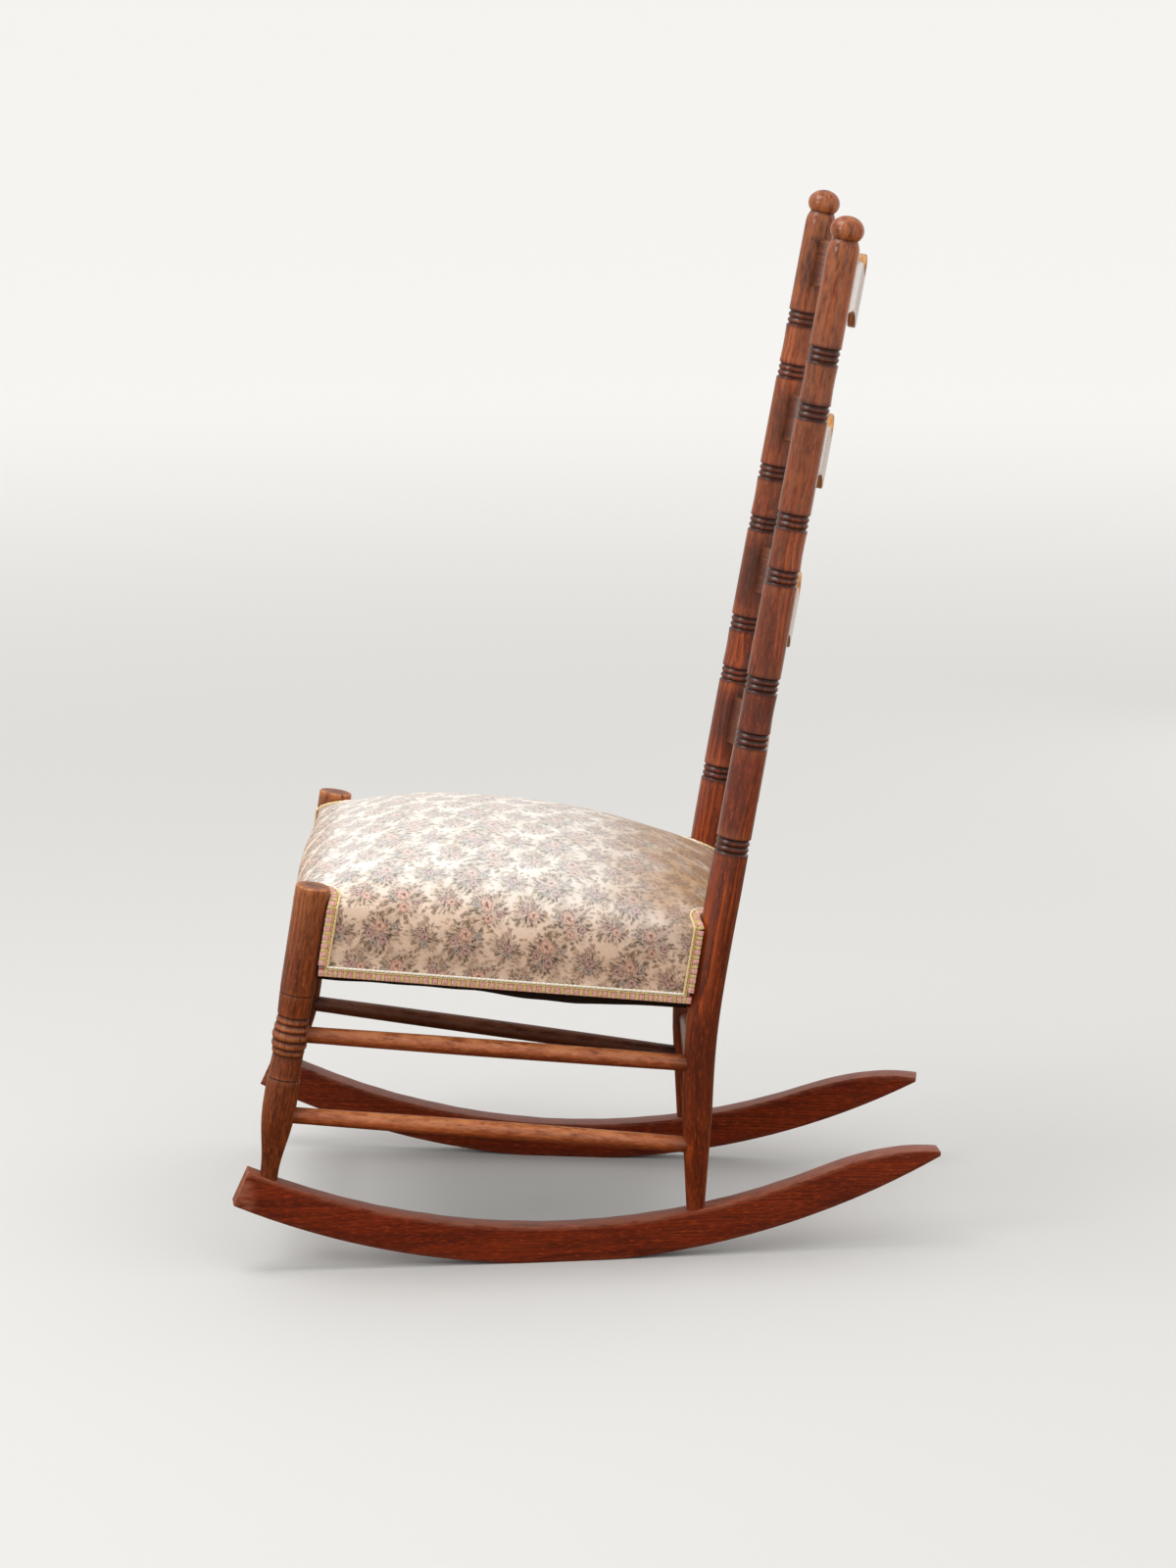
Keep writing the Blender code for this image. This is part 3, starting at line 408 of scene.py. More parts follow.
def objectGrain(turn):  # for boards that carry no grain of their own
    def grain(tree):
        mapping = addNode(tree, "ShaderNodeMapping")
        mapping.inputs["Rotation"].default_value = turn
        feed(tree, mapping.inputs["Vector"], ownPlace(tree))
        return mapping.outputs[0]
    return grain


finishes = {
    "postWood": {"dark": (66, 20, 5), "middle": (132, 49, 15), "light": (204, 92, 28), "worn": (186, 112, 62),
                 "figure": 1.1, "flecks": 1.0, "coat": 0.45, "polish": 0.12},
    "legWood": {"dark": (70, 28, 10), "middle": (140, 66, 28), "light": (204, 114, 54), "worn": (200, 128, 78),
                "figure": 0.6, "flecks": 1.0, "coat": 0.16, "polish": 0.2},
    "slatWood": {"dark": (66, 26, 11), "middle": (118, 54, 25), "light": (180, 98, 44), "worn": (214, 146, 66),
                 "figure": 0.6, "flecks": 1.0, "coat": 1.0, "polish": 0.12},
    # The rungs' wood is lighter than the legs' in part as painted light on their lit tops; the next wood is a
    # darker copy of it, painted shade for the right-hand rungs
    "litRungWood": {"dark": (104, 42, 16), "middle": (178, 88, 42), "light": (226, 136, 80), "worn": (228, 148, 96),
                 "figure": 0.35, "flecks": 0.7, "coat": 0.30, "polish": 0.22},
    "shadedWood": {"dark": (58, 24, 11), "middle": (98, 46, 23), "light": (134, 72, 42), "worn": (134, 80, 52),
                   "figure": 0.35, "flecks": 0.7, "coat": 0.16, "polish": 0.25},
    "rockerWood": {"dark": (74, 18, 3), "middle": (138, 45, 9), "light": (196, 82, 22), "worn": (158, 96, 70),
                   "figure": 0.40, "flecks": 0.8, "coat": 0.12, "polish": 0.2},
    "railWood": {"dark": (140, 104, 66), "middle": (184, 148, 102), "light": (206, 172, 126),
                 "worn": (206, 172, 126), "figure": 0.6, "flecks": 0.5, "coat": 0.0, "polish": 0.2,
                 "grain": objectGrain((0.0, math.radians(90.0), 0.0))}}
woods = {name: makeWood(name, **settings) for name, settings in finishes.items()}
print("wood finishes ready")


# Where things stand: the rockers' curve and the axes of the legs and posts

rocker = {"length": 0.658, "overhang": 0.033, "lowFromFoot": 0.2735, "footSpacing": 0.3957, "radius": 0.735,
          "depth": 0.0345, "thickness": 0.022, "flat": 0.080, "noseLength": 0.112, "noseReach": 0.064,
          "tipHeight": 0.004, "spacing": 0.3326, "toe": math.radians(6.8), "edge": 0.0016}
leg = {"topSpacing": 0.414, "leanBack": 0.0450, "topZ": 0.364, "radius": 0.0159, "topRound": 0.0014,
       "topBand": 0.0008, "rubbedReach": 0.010, "handledReach": 0.07,
       "collarFromTop": 0.092, "collarRadius": 0.0147, "neckFromTop": 0.1234,
       "beadWidths": (0.0068, 0.0068, 0.0089, 0.0078, 0.0057),
       "beadRadii": (0.0148, 0.0158, 0.0168, 0.0162, 0.0149),
       "grooveRadii": (0.0136, 0.0141, 0.0149, 0.0149, 0.0142, 0.0134),
       "swellFromTop": 0.205, "swellRadius": 0.0154, "footRadius": 0.0083, "scribes": (0.1016, 0.1822),
       "scribeDepth": 0.0006, "scribeHalf": 0.0010, "sides": 72, "socket": 0.012}
post = {"spacing": 0.332, "rake": math.radians(10.04), "bendZ": 0.2134, "bendEase": 0.060,
        "footRadius": 0.0085, "ankle": (0.134, 0.0139), "seat": (0.350, 0.0160), "shoulder": (0.931, 0.0144),
        "neckAbove": 0.009, "shoulderRound": 0.0125, "neckRadius": 0.0112, "ballRadius": 0.0153,
        "ballHalfHeight": 0.0125, "ballFrom": 0.942, "ringHeight": 0.015, "ringRecess": 0.0018,
        "beadRecess": 0.0004, "hollow": 0.0007, "ringFromSlat": 0.049, "handledFrom": 0.50,
        "handledRun": 0.42, "sides": 72, "socket": 0.012}
slat = {"count": 4, "topZ": 0.887, "pitch": 0.1486, "height": 0.046, "thickness": 0.008, "lift": 0.006,
        "bow": 0.032, "bowStep": 0.0026, "wave": 0.019, "crest": 0.004, "trough": 0.046, "crestAt": 0.102,
        "tenon": 0.007, "edge": 0.0019}
rung = {"endRadius": 0.0076, "middleRadius": 0.0083, "plainEnd": 0.024, "setIn": 0.0065, "sides": 40,
        "sideUpper": (0.2255, 0.1845), "sideLower": (0.149, 0.1055), "frontUpper": 0.203,
        "frontLower": 0.129, "rear": 0.145, "grainStep": 0.83}
wearing = {"reach": 0.004, "proud": 0.0007}  # how wide and how deep a turned step counts

legFootAlong = rocker["overhang"] - 0.5 * rocker["length"]
postFootAlong = legFootAlong + rocker["footSpacing"]
lowPoint = legFootAlong + rocker["lowFromFoot"]


def arcHeight(along, radius):
    return rocker["radius"] - math.sqrt(radius ** 2 - (along - lowPoint) ** 2)


wornAway = arcHeight(lowPoint + 0.5 * rocker["flat"], rocker["radius"])


def rockerBottom(along):
    return max(arcHeight(along, rocker["radius"]) - wornAway, 0.0)


def rockerTop(along):
    return arcHeight(along, rocker["radius"] - rocker["depth"]) - wornAway


def rockerMatrix(side):
    along = Vector((-side * math.sin(rocker["toe"]), math.cos(rocker["toe"]), 0.0))
    turn = Matrix((along, up, along.cross(up))).transposed()
    return Matrix.Translation((side * 0.5 * rocker["spacing"], 0.0, 0.0)) @ turn.to_4x4()


def legFoot(side):
    return rockerMatrix(side) @ Vector((legFootAlong, rockerTop(legFootAlong), 0.0))


def legTop(side):
    return Vector((side * 0.5 * leg["topSpacing"], legFoot(side).y + leg["leanBack"], leg["topZ"]))


def legAxis(side, height):
    foot, top = legFoot(side), legTop(side)
    return foot + (top - foot) * (height - foot.z) / (top.z - foot.z)


def postFoot(side):
    return rockerMatrix(side) @ Vector((postFootAlong, rockerTop(postFootAlong), 0.0))


def aboveBend(height):
    rise = height - post["bendZ"]
    return 0.5 * (rise + math.hypot(rise, post["bendEase"]))


def belowBend(height):
    return aboveBend(height) - (height - post["bendZ"])


def postAxis(side, height):
    foot = postFoot(side)
    half = 0.5 * post["spacing"]
    out = half + (abs(foot.x) - half) * belowBend(height) / belowBend(foot.z)
    back = foot.y + math.tan(post["rake"]) * (aboveBend(height) - aboveBend(foot.z))
    return Vector((side * out, back, height))


def frameAt(origin, zAxis, hint):
    zAxis = zAxis.normalized()
    xAxis = (hint - zAxis * hint.dot(zAxis)).normalized()
    turn = Matrix((xAxis, zAxis.cross(xAxis), zAxis)).transposed()
    return Matrix.Translation(origin) @ turn.to_4x4()


# Turned pieces: the profile is drawn as a line of points and spun on the lathe

def turnOnLathe(name, profile, sides):
    deselectAll()
    bpy.ops.mesh.primitive_plane_add(size=0.001)
    piece = namePiece(name)
    bpy.ops.object.mode_set(mode="EDIT")
    bpy.ops.mesh.merge(type="CENTER")
    here = Vector((profile[0][1], 0.0, profile[0][0]))
    bpy.ops.transform.translate(value=here)
    for height, radius in profile[1:]:
        there = Vector((radius, 0.0, height))
        bpy.ops.mesh.extrude_vertices_move(TRANSFORM_OT_translate={"value": there - here})
        here = there
    bpy.ops.mesh.select_all(action="SELECT")
    bpy.ops.mesh.spin(steps=sides, angle=math.tau, center=(0.0, 0.0, 0.0), axis=(0.0, 0.0, 1.0))
    bpy.ops.object.mode_set(mode="OBJECT")
    cleanMesh(piece)
    smoothShade(piece, 40.0)
    return piece


def turnedWear(profile, coords):  # what stands proud is rubbed, what lies back holds grime
    heights = np.array([height for height, _ in profile])
    radii = np.array([radius for _, radius in profile])
    fine = np.linspace(heights.min(), heights.max(), 6000)
    outline = np.interp(fine, heights, radii)
    window = max(int(wearing["reach"] / (fine[1] - fine[0])), 1)
    spread = np.pad(outline, window, mode="edge")
    mean = np.convolve(spread, np.ones(2 * window + 1) / (2 * window + 1), mode="valid")
    slope = np.gradient(outline, fine)
    proud = (outline - mean) / (1.0 + 0.3 * slope ** 2)
    found = np.interp(coords[:, 2], fine, proud)
    return unit(found / wearing["proud"]), unit(-found / wearing["proud"])


def grainOf(coords, shift, pith):  # the wood's own straight coordinates, with the pith beside the piece
    return coords + np.array((pith[0], pith[1], shift))


def legProfile():
    length = (legTop(1.0) - legFoot(1.0)).length
    radius, rounding = leg["radius"], leg["topRound"]
    down = [(0.0, 0.0), (0.0, 0.5 * radius), (0.0001, radius - 1.6 * rounding)]
    for turn in np.linspace(0.0, 0.5 * math.pi, 6):
        down.append((0.0002 + rounding * (1.0 - math.cos(turn)),
                     radius - rounding * (1.0 - math.sin(turn))))
    for drop in np.linspace(0.006, leg["neckFromTop"] - 0.0022, 32):
        share = max((drop - leg["collarFromTop"]) / (leg["neckFromTop"] - leg["collarFromTop"]), 0.0)
        down.append((drop, radius + (leg["collarRadius"] - radius) * share ** 1.3))
    down.append((leg["neckFromTop"] - 0.0009, leg["collarRadius"] - 0.0004))
    here = leg["neckFromTop"]
    grooves = leg["grooveRadii"]
    for index, (width, bead) in enumerate(zip(leg["beadWidths"], leg["beadRadii"])):
        before, after = grooves[index], grooves[index + 1]
        for turn in np.linspace(0.0, 1.0, 11)[:-1]:
            swell = (bead - 0.5 * (before + after)) * math.sin(math.pi * turn) ** 0.7
            down.append((here + turn * width, before + (after - before) * turn + swell))
        here += width
    for share in np.linspace(0.0, 1.0, 20):
        swell = math.sin(0.5 * math.pi * share) ** 0.85
        down.append((here + share * (leg["swellFromTop"] - here),
                     grooves[-1] + (leg["swellRadius"] - grooves[-1]) * swell))
    taper = 0.93 * (length - leg["swellFromTop"])
    for share in np.linspace(0.03, 1.0, 24):
        narrowing = 0.5 - 0.5 * math.cos(math.pi * share ** 1.2)
        down.append((leg["swellFromTop"] + share * taper,
                     leg["swellRadius"] + (leg["footRadius"] - leg["swellRadius"]) * narrowing))
    down.append((length + leg["socket"], leg["footRadius"]))
    down.append((length + leg["socket"], 0.0))
    half, floor = leg["scribeHalf"], 0.4 * leg["scribeHalf"]
    for scribe in leg["scribes"]:  # scribed lines are cut in as small notches
        plain = float(np.interp(scribe, [drop for drop, _ in down], [size for _, size in down]))
        down = [spot for spot in down if abs(spot[0] - scribe) > 1.1 * half]
        place = sum(1 for spot in down if spot[0] < scribe)
        down[place:place] = [(scribe - half, plain), (scribe - floor, plain - leg["scribeDepth"]),
                             (scribe + floor, plain - leg["scribeDepth"]), (scribe + half, plain)]
    return [(length - drop, size) for drop, size in down][::-1]


def makeLegs():
    profile = legProfile()
    first = turnOnLathe("left_front_leg_turned", profile, leg["sides"])
    pieces = [first, copyPiece(first, "right_front_leg_turned")]
    for piece, (name, side), shift in zip(pieces, bothSides, (0.0, 1.7)):
        coords = spotsOf(piece)
        wearAndLight, grimeAndShade = turnedWear(profile, coords)
        fromTop = profile[-1][0] - coords[:, 2]
        rim = np.hypot(coords[:, 0], coords[:, 1]) / leg["radius"]
        onTop = fromTop < leg["topBand"]
        nearTop = within(fromTop, leg["rubbedReach"]) ** 3
        wearAndLight = np.maximum(wearAndLight * 0.8, np.where(onTop, beyond(rim, 0.72, 0.2), 0.75 * nearTop))
        wearAndLight = np.maximum(wearAndLight, 0.42 * within(fromTop, leg["handledReach"]))
        storeVectors(piece, "grain", grainOf(coords, shift, (0.007 * side, 0.012)))
        storeValues(piece, "wearAndLight", wearAndLight)
        storeValues(piece, "grimeAndShade", np.maximum(grimeAndShade * 0.85, np.where(onTop, 0.55 - 0.5 * rim, 0.0)))
        foot = legFoot(side)
        piece.data.transform(frameAt(foot, legTop(side) - foot, across))
        seat(piece, [name + "_front_leg"], woods["legWood"])


def postRadius(height):
    foot = postFoot(1.0).z
    stations = ((foot, post["footRadius"]), post["ankle"], post["seat"], post["shoulder"])
    return float(np.interp(height, [spot[0] for spot in stations], [spot[1] for spot in stations]))


def slatHeights():
    return [slat["topZ"] - index * slat["pitch"] for index in range(slat["count"])]


def ringHeights():
    below = [height - post["ringFromSlat"] for height in slatHeights()]
    return sorted(below + [height + post["ringFromSlat"] for height in slatHeights()[1:]])


def ringRecess(share):  # three grooves with two beads between them, -0.5 to 0.5 across the group
    reach = abs(share)
    if reach > 0.40:
        return post["ringRecess"] * (0.5 - reach) / 0.10 if reach < 0.5 else 0.0
    wave = 0.5 + 0.5 * math.cos(math.tau * reach / 0.37)
    return post["beadRecess"] + (post["ringRecess"] - post["beadRecess"]) * wave ** 1.6


def postProfile():
    foot, neck = postFoot(1.0).z, post["shoulder"][0] + post["neckAbove"]
    shoulder = neck - post["shoulderRound"]
    spots = [(foot - post["socket"], 0.0), (foot - post["socket"], post["footRadius"])]
    heights = set(np.round(np.linspace(foot, shoulder, 90), 5))
    rings = ringHeights()
    apart = 0.52 * post["ringHeight"]
    heights = {height for height in heights if min(abs(height - ring) for ring in rings) > apart}
    for ring in rings:
        heights |= {round(ring + share * post["ringHeight"], 6) for share in np.linspace(-0.5, 0.5, 35)}
    for height in sorted(heights):
        near = min(rings, key=lambda ring: abs(height - ring))
        share = (height - near) / post["ringHeight"]
        size = postRadius(height) - (ringRecess(share) if abs(share) <= 0.5 else 0.0)
        for low, high in zip(rings[1::2], rings[2::2]):
            inner = (height - low) / (high - low)
            size -= post["hollow"] * math.sin(math.pi * inner) ** 2 if 0.0 < inner < 1.0 else 0.0
        spots.append((height, size))
    ratio = post["neckRadius"] / post["ballRadius"]
    lowest = -math.acos(ratio)
    middle = neck - post["ballHalfHeight"] * math.sin(lowest)
    wider = post["shoulder"][1] - post["neckRadius"]
    for share in np.linspace(0.94, 0.03, 12):  # rounded shoulder running into the neck
        spots.append((neck - share * post["shoulderRound"],
                      post["neckRadius"] + wider * (1.0 - (1.0 - share) ** 2.6)))
    for turn in np.linspace(lowest, 0.5 * math.pi, 22):
        spots.append((middle + post["ballHalfHeight"] * math.sin(turn),
                      post["ballRadius"] * math.cos(turn)))
    spots[-1] = (spots[-1][0], 0.0)
    return spots


def makePosts():
    profile = postProfile()
    first = turnOnLathe("left_rear_post_turned", profile, post["sides"])
    pieces = [first, copyPiece(first, "right_rear_post_turned")]
    for piece, (name, side), shift in zip(pieces, bothSides, (0.3, 2.9)):
        coords = spotsOf(piece)
        wearAndLight, grimeAndShade = turnedWear(profile, coords)
        rise = coords[:, 2]
        fromRing = np.min([np.abs(rise - ring) for ring in ringHeights()], axis=0)
        ringed = fromRing < 0.55 * post["ringHeight"]
        storeVectors(piece, "grain", grainOf(coords, shift, (0.010, -0.009 * side)))
        handledAndLit = 0.55 * beyond(rise, post["handledFrom"], post["handledRun"])
        # the balls get more of the worn tone: partly handling wear, partly a painted highlight on the lit ball
        handledAndLit += 0.2 * (rise > post["ballFrom"])
        inward = unit(-side * coords[:, 0] / post["seat"][1] + 0.15)
        bySlat = np.min([np.abs(rise - height - slat["lift"]) for height in slatHeights()], axis=0)
        stained = 0.6 * inward * within(bySlat - 0.016, 0.020)
        grimeAndShade = np.where(ringed, 0.52 + 0.45 * grimeAndShade, np.maximum(0.75 * grimeAndShade, stained))
        storeValues(piece, "wearAndLight", np.where(ringed, 0.2 * handledAndLit, np.maximum(wearAndLight * 0.55, handledAndLit)))
        storeValues(piece, "grimeAndShade", grimeAndShade)
        moved = np.empty_like(coords)
        for height in np.unique(coords[:, 2]):
            ahead = postAxis(side, height + 0.0005) - postAxis(side, height - 0.0005)
            place = frameAt(postAxis(side, height), ahead, across)
            here = coords[:, 2] == height
            flat = coords[here] * (1.0, 1.0, 0.0)
            moved[here] = flat @ np.array(place.to_3x3()).T + np.array(place.translation)
        moveSpots(piece, moved)
        seat(piece, [name + "_rear_post"], woods["postWood"])


def rungProfile(length):
    spots = [(0.0, 0.0), (0.0, rung["endRadius"])]
    for share in np.linspace(0.0, 1.0, 28):
        height = rung["plainEnd"] + share * (length - 2.0 * rung["plainEnd"])
        swell = (rung["middleRadius"] - rung["endRadius"]) * math.sin(math.pi * share) ** 0.8
        spots.append((height, rung["endRadius"] + swell))
    return spots + [(length, rung["endRadius"]), (length, 0.0)]


def makeRung(name, start, end, shift):
    along = (end - start).normalized()
    length = (end - start).length - 2.0 * rung["setIn"]
    profile = rungProfile(length)
    piece = turnOnLathe(name + "_turned", profile, rung["sides"])
    coords = spotsOf(piece)
    middle = np.abs(coords[:, 2] / length - 0.5) * 2.0
    place = frameAt(start + along * rung["setIn"], along, up)
    upward = (coords * (1.0, 1.0, 0.0)) @ np.array(place.to_3x3())[2] / rung["middleRadius"]
    storeVectors(piece, "grain", grainOf(coords, shift, (0.011, 0.004)))
    # lighter on the upper side, partly wear and partly a painted highlight; darker on the underside as painted
    # shade; darker at the ends with grime at the joints
    storeValues(piece, "wearAndLight", np.clip(0.30 + 0.60 * upward, 0.0, 0.9) * unit(1.1 - middle ** 4))
    storeValues(piece, "grimeAndShade", np.maximum(0.7 * beyond(middle, 0.90, 0.06), 0.45 * unit(-upward - 0.2)))
    piece.data.transform(place)
    # the right-hand rungs take the darker copy of the rung wood: painted shade
    seat(piece, [name], woods["shadedWood" if name.startswith("right") else "litRungWood"])


def makeRungs():
    ends = []
    for name, side in bothSides:
        for place in ("Upper", "Lower"):
            front, rear = rung["side" + place]
            ends.append((name + "_" + place.lower() + "_stretcher", legAxis(side, front), postAxis(side, rear)))
    for place in ("Upper", "Lower"):
        height = rung["front" + place]
        ends.append(("front_" + place.lower() + "_stretcher", legAxis(1.0, height), legAxis(-1.0, height)))
    ends.append(("rear_stretcher", postAxis(1.0, rung["rear"]), postAxis(-1.0, rung["rear"])))
    for index, (name, start, end) in enumerate(ends):
        makeRung(name, start, end, index * rung["grainStep"])


makeLegs()
makePosts()
makeRungs()
print("turned pieces done")


# Boards: rockers and slats start as a grid that is drawn out to their outline

def rockerNose(along):  # upper edge of the rear end, a parabola down to the tip
    rear = 0.5 * rocker["length"]
    begin = Vector((rear - rocker["noseLength"], rockerTop(rear - rocker["noseLength"])))
    lean = (begin.x - lowPoint) / (rocker["radius"] - rocker["depth"])
    guide = begin + Vector((1.0, math.tan(math.asin(lean)))) * rocker["noseReach"]
    tip = Vector((rear, rockerBottom(rear) + rocker["tipHeight"]))
    low, high = 0.0, 1.0
    for _ in range(40):
        share = 0.5 * (low + high)
        spot = begin * (1 - share) ** 2 + guide * 2 * share * (1 - share) + tip * share ** 2
        low, high = (share, high) if spot.x < along else (low, share)
    return spot.y


def makeRockers():
    front, rear = -0.5 * rocker["length"], 0.5 * rocker["length"]
    square = rocker["depth"] * (front - lowPoint) / rocker["radius"]
    nose = rear - rocker["noseLength"]
    for (name, side), shift in zip(bothSides, (0.4, 1.9)):
        piece = addGrid(name + "_rocker_board", 150, 8)
        coords = spotsOf(piece)
        drawn = np.zeros_like(coords)
        for index, (x, y, _) in enumerate(coords):
            share, rise = 0.5 * (x + 1.0), 0.5 * (y + 1.0)
            low = front + share * (rear - front)
            high = front - square + share * (rear - front + square)
            top = rockerTop(high) if high <= nose else rockerNose(high)
            bottom = rockerBottom(low)
            drawn[index] = (low + (high - low) * rise, bottom + (top - bottom) * rise, 0.0)
        moveSpots(piece, drawn)
        finishWith(piece, "SOLIDIFY", thickness=rocker["thickness"], offset=0.0)
        cleanMesh(piece)
        finishWith(piece, "BEVEL", width=rocker["edge"], segments=3, limit_method="ANGLE",
                   angle_limit=math.radians(50.0))
        coords = spotsOf(piece)
        tops = np.array([rockerTop(min(x, nose)) if x <= nose else rockerNose(x) for x in coords[:, 0]])
        bottoms = np.array([rockerBottom(min(max(x, front), rear)) for x in coords[:, 0]])
        toTop, toBottom = tops - coords[:, 1], coords[:, 1] - bottoms
        outer = 0.5 * rocker["thickness"] - np.abs(coords[:, 2])
        edge = within(np.hypot(toTop, outer), 0.0035)
        ends = within(coords[:, 0] - front + square, 0.010)
        tip = within(rear - coords[:, 0], 0.050)
        wearAndLight = np.maximum.reduce([0.85 * edge, 0.9 * ends ** 2, 0.8 * tip * within(toTop, 0.006),
                                  0.5 * within(toTop, 0.0012), 0.5 * within(np.hypot(toBottom, outer), 0.0025)])
        storeVectors(piece, "grain", coords[:, [2, 1, 0]] + (0.012, 0.055, shift))
        storeValues(piece, "wearAndLight", wearAndLight)
        storeValues(piece, "grimeAndShade", 0.45 * within(toBottom, 0.006))
        worn = 0.00022 * ripple(coords, 0.03, 5) * unit(edge + 0.3)
        coords[:, 1] += np.where(toBottom > 0.003, worn, 0.0)
        moveSpots(piece, coords)
        piece.data.transform(rockerMatrix(side))
        smoothShade(piece, 35.0)
        seat(piece, [name + "_rocker"], woods["rockerWood"])


def slatRise(reach):
    reach = abs(reach)
    if reach < slat["trough"]:
        drop = 0.5 - 0.5 * math.cos(math.pi * reach / slat["trough"])
    elif reach < slat["crestAt"]:
        drop = 0.5 + 0.5 * math.cos(math.pi * (reach - slat["trough"]) / (slat["crestAt"] - slat["trough"]))
    else:
        run = 0.5 * post["spacing"] - slat["crestAt"]
        return slat["crest"] * (0.5 + 0.5 * math.cos(math.pi * min((reach - slat["crestAt"]) / run, 1.0)))
    return slat["crest"] - slat["wave"] * drop


def makeSlats():
    for index, height in enumerate(slatHeights()):
        height += slat["lift"]
        bow = slat["bow"] - index * slat["bowStep"]
        half = 0.5 * post["spacing"] - postRadius(height) + slat["tenon"]
        piece = addGrid("back_slat_%d_board" % (index + 1), 120, 10)
        coords = spotsOf(piece)
        drawn = np.array([(x * half, bow * (1.0 - (x * half / (0.5 * post["spacing"])) ** 2),
                           slatRise(x * half) + 0.5 * y * slat["height"]) for x, y, _ in coords])
        moveSpots(piece, drawn)
        finishWith(piece, "SOLIDIFY", thickness=slat["thickness"], offset=0.0, use_even_offset=True)
        cleanMesh(piece)
        finishWith(piece, "BEVEL", width=slat["edge"], segments=4, limit_method="ANGLE",
                   angle_limit=math.radians(60.0))
        coords = spotsOf(piece)
        rise = coords[:, 2] - np.array([slatRise(x) for x in coords[:, 0]])
        depth = coords[:, 1] - bow * (1.0 - (coords[:, 0] / (0.5 * post["spacing"])) ** 2)
        rim = within(0.5 * slat["height"] - np.abs(rise), 0.006)
        middle = 1.0 - 0.85 * beyond(np.abs(coords[:, 0]), 0.05, 0.06)
        # the top edge is lighter towards the middle with the worn tone: partly wear, partly a painted highlight on
        # the lit crest
        wearAndLight = np.where(rise > 0.0, rim ** 1.5 * middle, 0.3 * rim ** 3)
        ends = beyond(np.abs(coords[:, 0]), half - 0.022, 0.015)
        grain = np.stack([depth + 0.017, rise + 0.010, coords[:, 0] + 0.9 * index], axis=1)
        storeVectors(piece, "grain", grain)
        storeValues(piece, "wearAndLight", wearAndLight)
        storeValues(piece, "grimeAndShade", 0.6 * ends)
        turn = Matrix.Rotation(-post["rake"], 4, "X")
        piece.data.transform(Matrix.Translation((0.0, postAxis(1.0, height).y, height)) @ turn)
        smoothShade(piece, 40.0)
        seat(piece, ["back_slat_%d" % (index + 1)], woods["slatWood"])


makeRockers()
makeSlats()
print("boards done")


# The seat's plane slopes down to the back, and its outline runs outside the rails

cover = {"frontZ": 0.284, "rearZ": 0.244, "railHeight": 0.058, "railThickness": 0.020, "gap": 0.0007,
         "cutGap": 0.0004, "rim": 0.9999,
         "thickness": 0.0018, "frontWall": 0.066, "rearWall": 0.0735, "crown": 0.0565, "acrossPower": 2.15,
         "frontPower": 2.7, "rearPower": 1.85, "fullness": 0.69, "frontRoll": 0.005, "rollReach": 0.12,
         "easeReach": 0.80, "frontBulge": 0.004, "sideBulge": 0.003, "held": 0.0108, "grid": 64,
         "wallRows": 11, "inset": 0.0008, "pinnedBelow": 0.020, "pinnedRun": 0.006, "cornerFrom": 0.80,
         "cornerRun": 0.08, "lumps": ((0.0007, 0.11, 3), (0.0003, 0.04, 4)), "calmRim": 0.2,
         "cap": 0.0022, "frames": 20}
tension = {"quality": 6, "mass": 0.25, "tension_stiffness": 25.0, "compression_stiffness": 10.0,
           "bending_stiffness": 0.8, "use_pressure": True, "uniform_pressure_force": 4.0,
           "vertex_group_mass": "held"}


def seatMatrix():
    front, rear = legAxis(1.0, cover["frontZ"]), postAxis(1.0, cover["rearZ"])
    slope = math.atan2(cover["rearZ"] - cover["frontZ"], rear.y - front.y)
    middle = Vector((0.0, 0.5 * (front.y + rear.y), 0.5 * (front.z + rear.z)))
    return Matrix.Translation(middle) @ Matrix.Rotation(slope, 4, "X")


def seatCrossing(axis, side, level):  # where a leg's axis passes a level above the seat's plane
    inward = seatMatrix().inverted()
    low, high = 0.5 * cover["rearZ"], 2.0 * cover["frontZ"]
    for _ in range(40):
        trial = 0.5 * (low + high)
        low, high = (trial, high) if (inward @ axis(side, trial)).z < level else (low, trial)
    return inward @ axis(side, low)


def seatPlan(out):
    front = seatCrossing(legAxis, 1.0, 0.5 * cover["railHeight"])
    rear = seatCrossing(postAxis, 1.0, 0.5 * cover["railHeight"])
    slope = (rear.x - front.x) / (rear.y - front.y)
    sideways = out * math.hypot(1.0, slope)
    frontY, rearY = front.y - out, rear.y + out
    halfFront = front.x + slope * (frontY - front.y) + sideways
    halfRear = front.x + slope * (rearY - front.y) + sideways
    return frontY, rearY, halfFront, halfRear


wallOut = 0.5 * cover["railThickness"] + cover["gap"] + cover["thickness"]
placeSeat = seatMatrix()


def planShares(flat):  # grid spots from -1 to 1, closer together towards the rim
    return np.sin(0.5 * math.pi * flat[:, 0]), np.sin(0.5 * math.pi * flat[:, 1])


def onPlan(plan, a, b):
    frontY, rearY, halfFront, halfRear = plan
    share = 0.5 * (b + 1.0)
    return a * (halfFront + (halfRear - halfFront) * share), frontY + (rearY - frontY) * share


def edgeEase(share):
    reach = np.abs(share) / cover["easeReach"]
    return np.where(reach < 1.0, (1.0 - np.minimum(reach, 1.0) ** 2) ** 2, 0.0)


def wallHeight(b):
    return cover["frontWall"] + (cover["rearWall"] - cover["frontWall"]) * 0.5 * (b + 1.0)


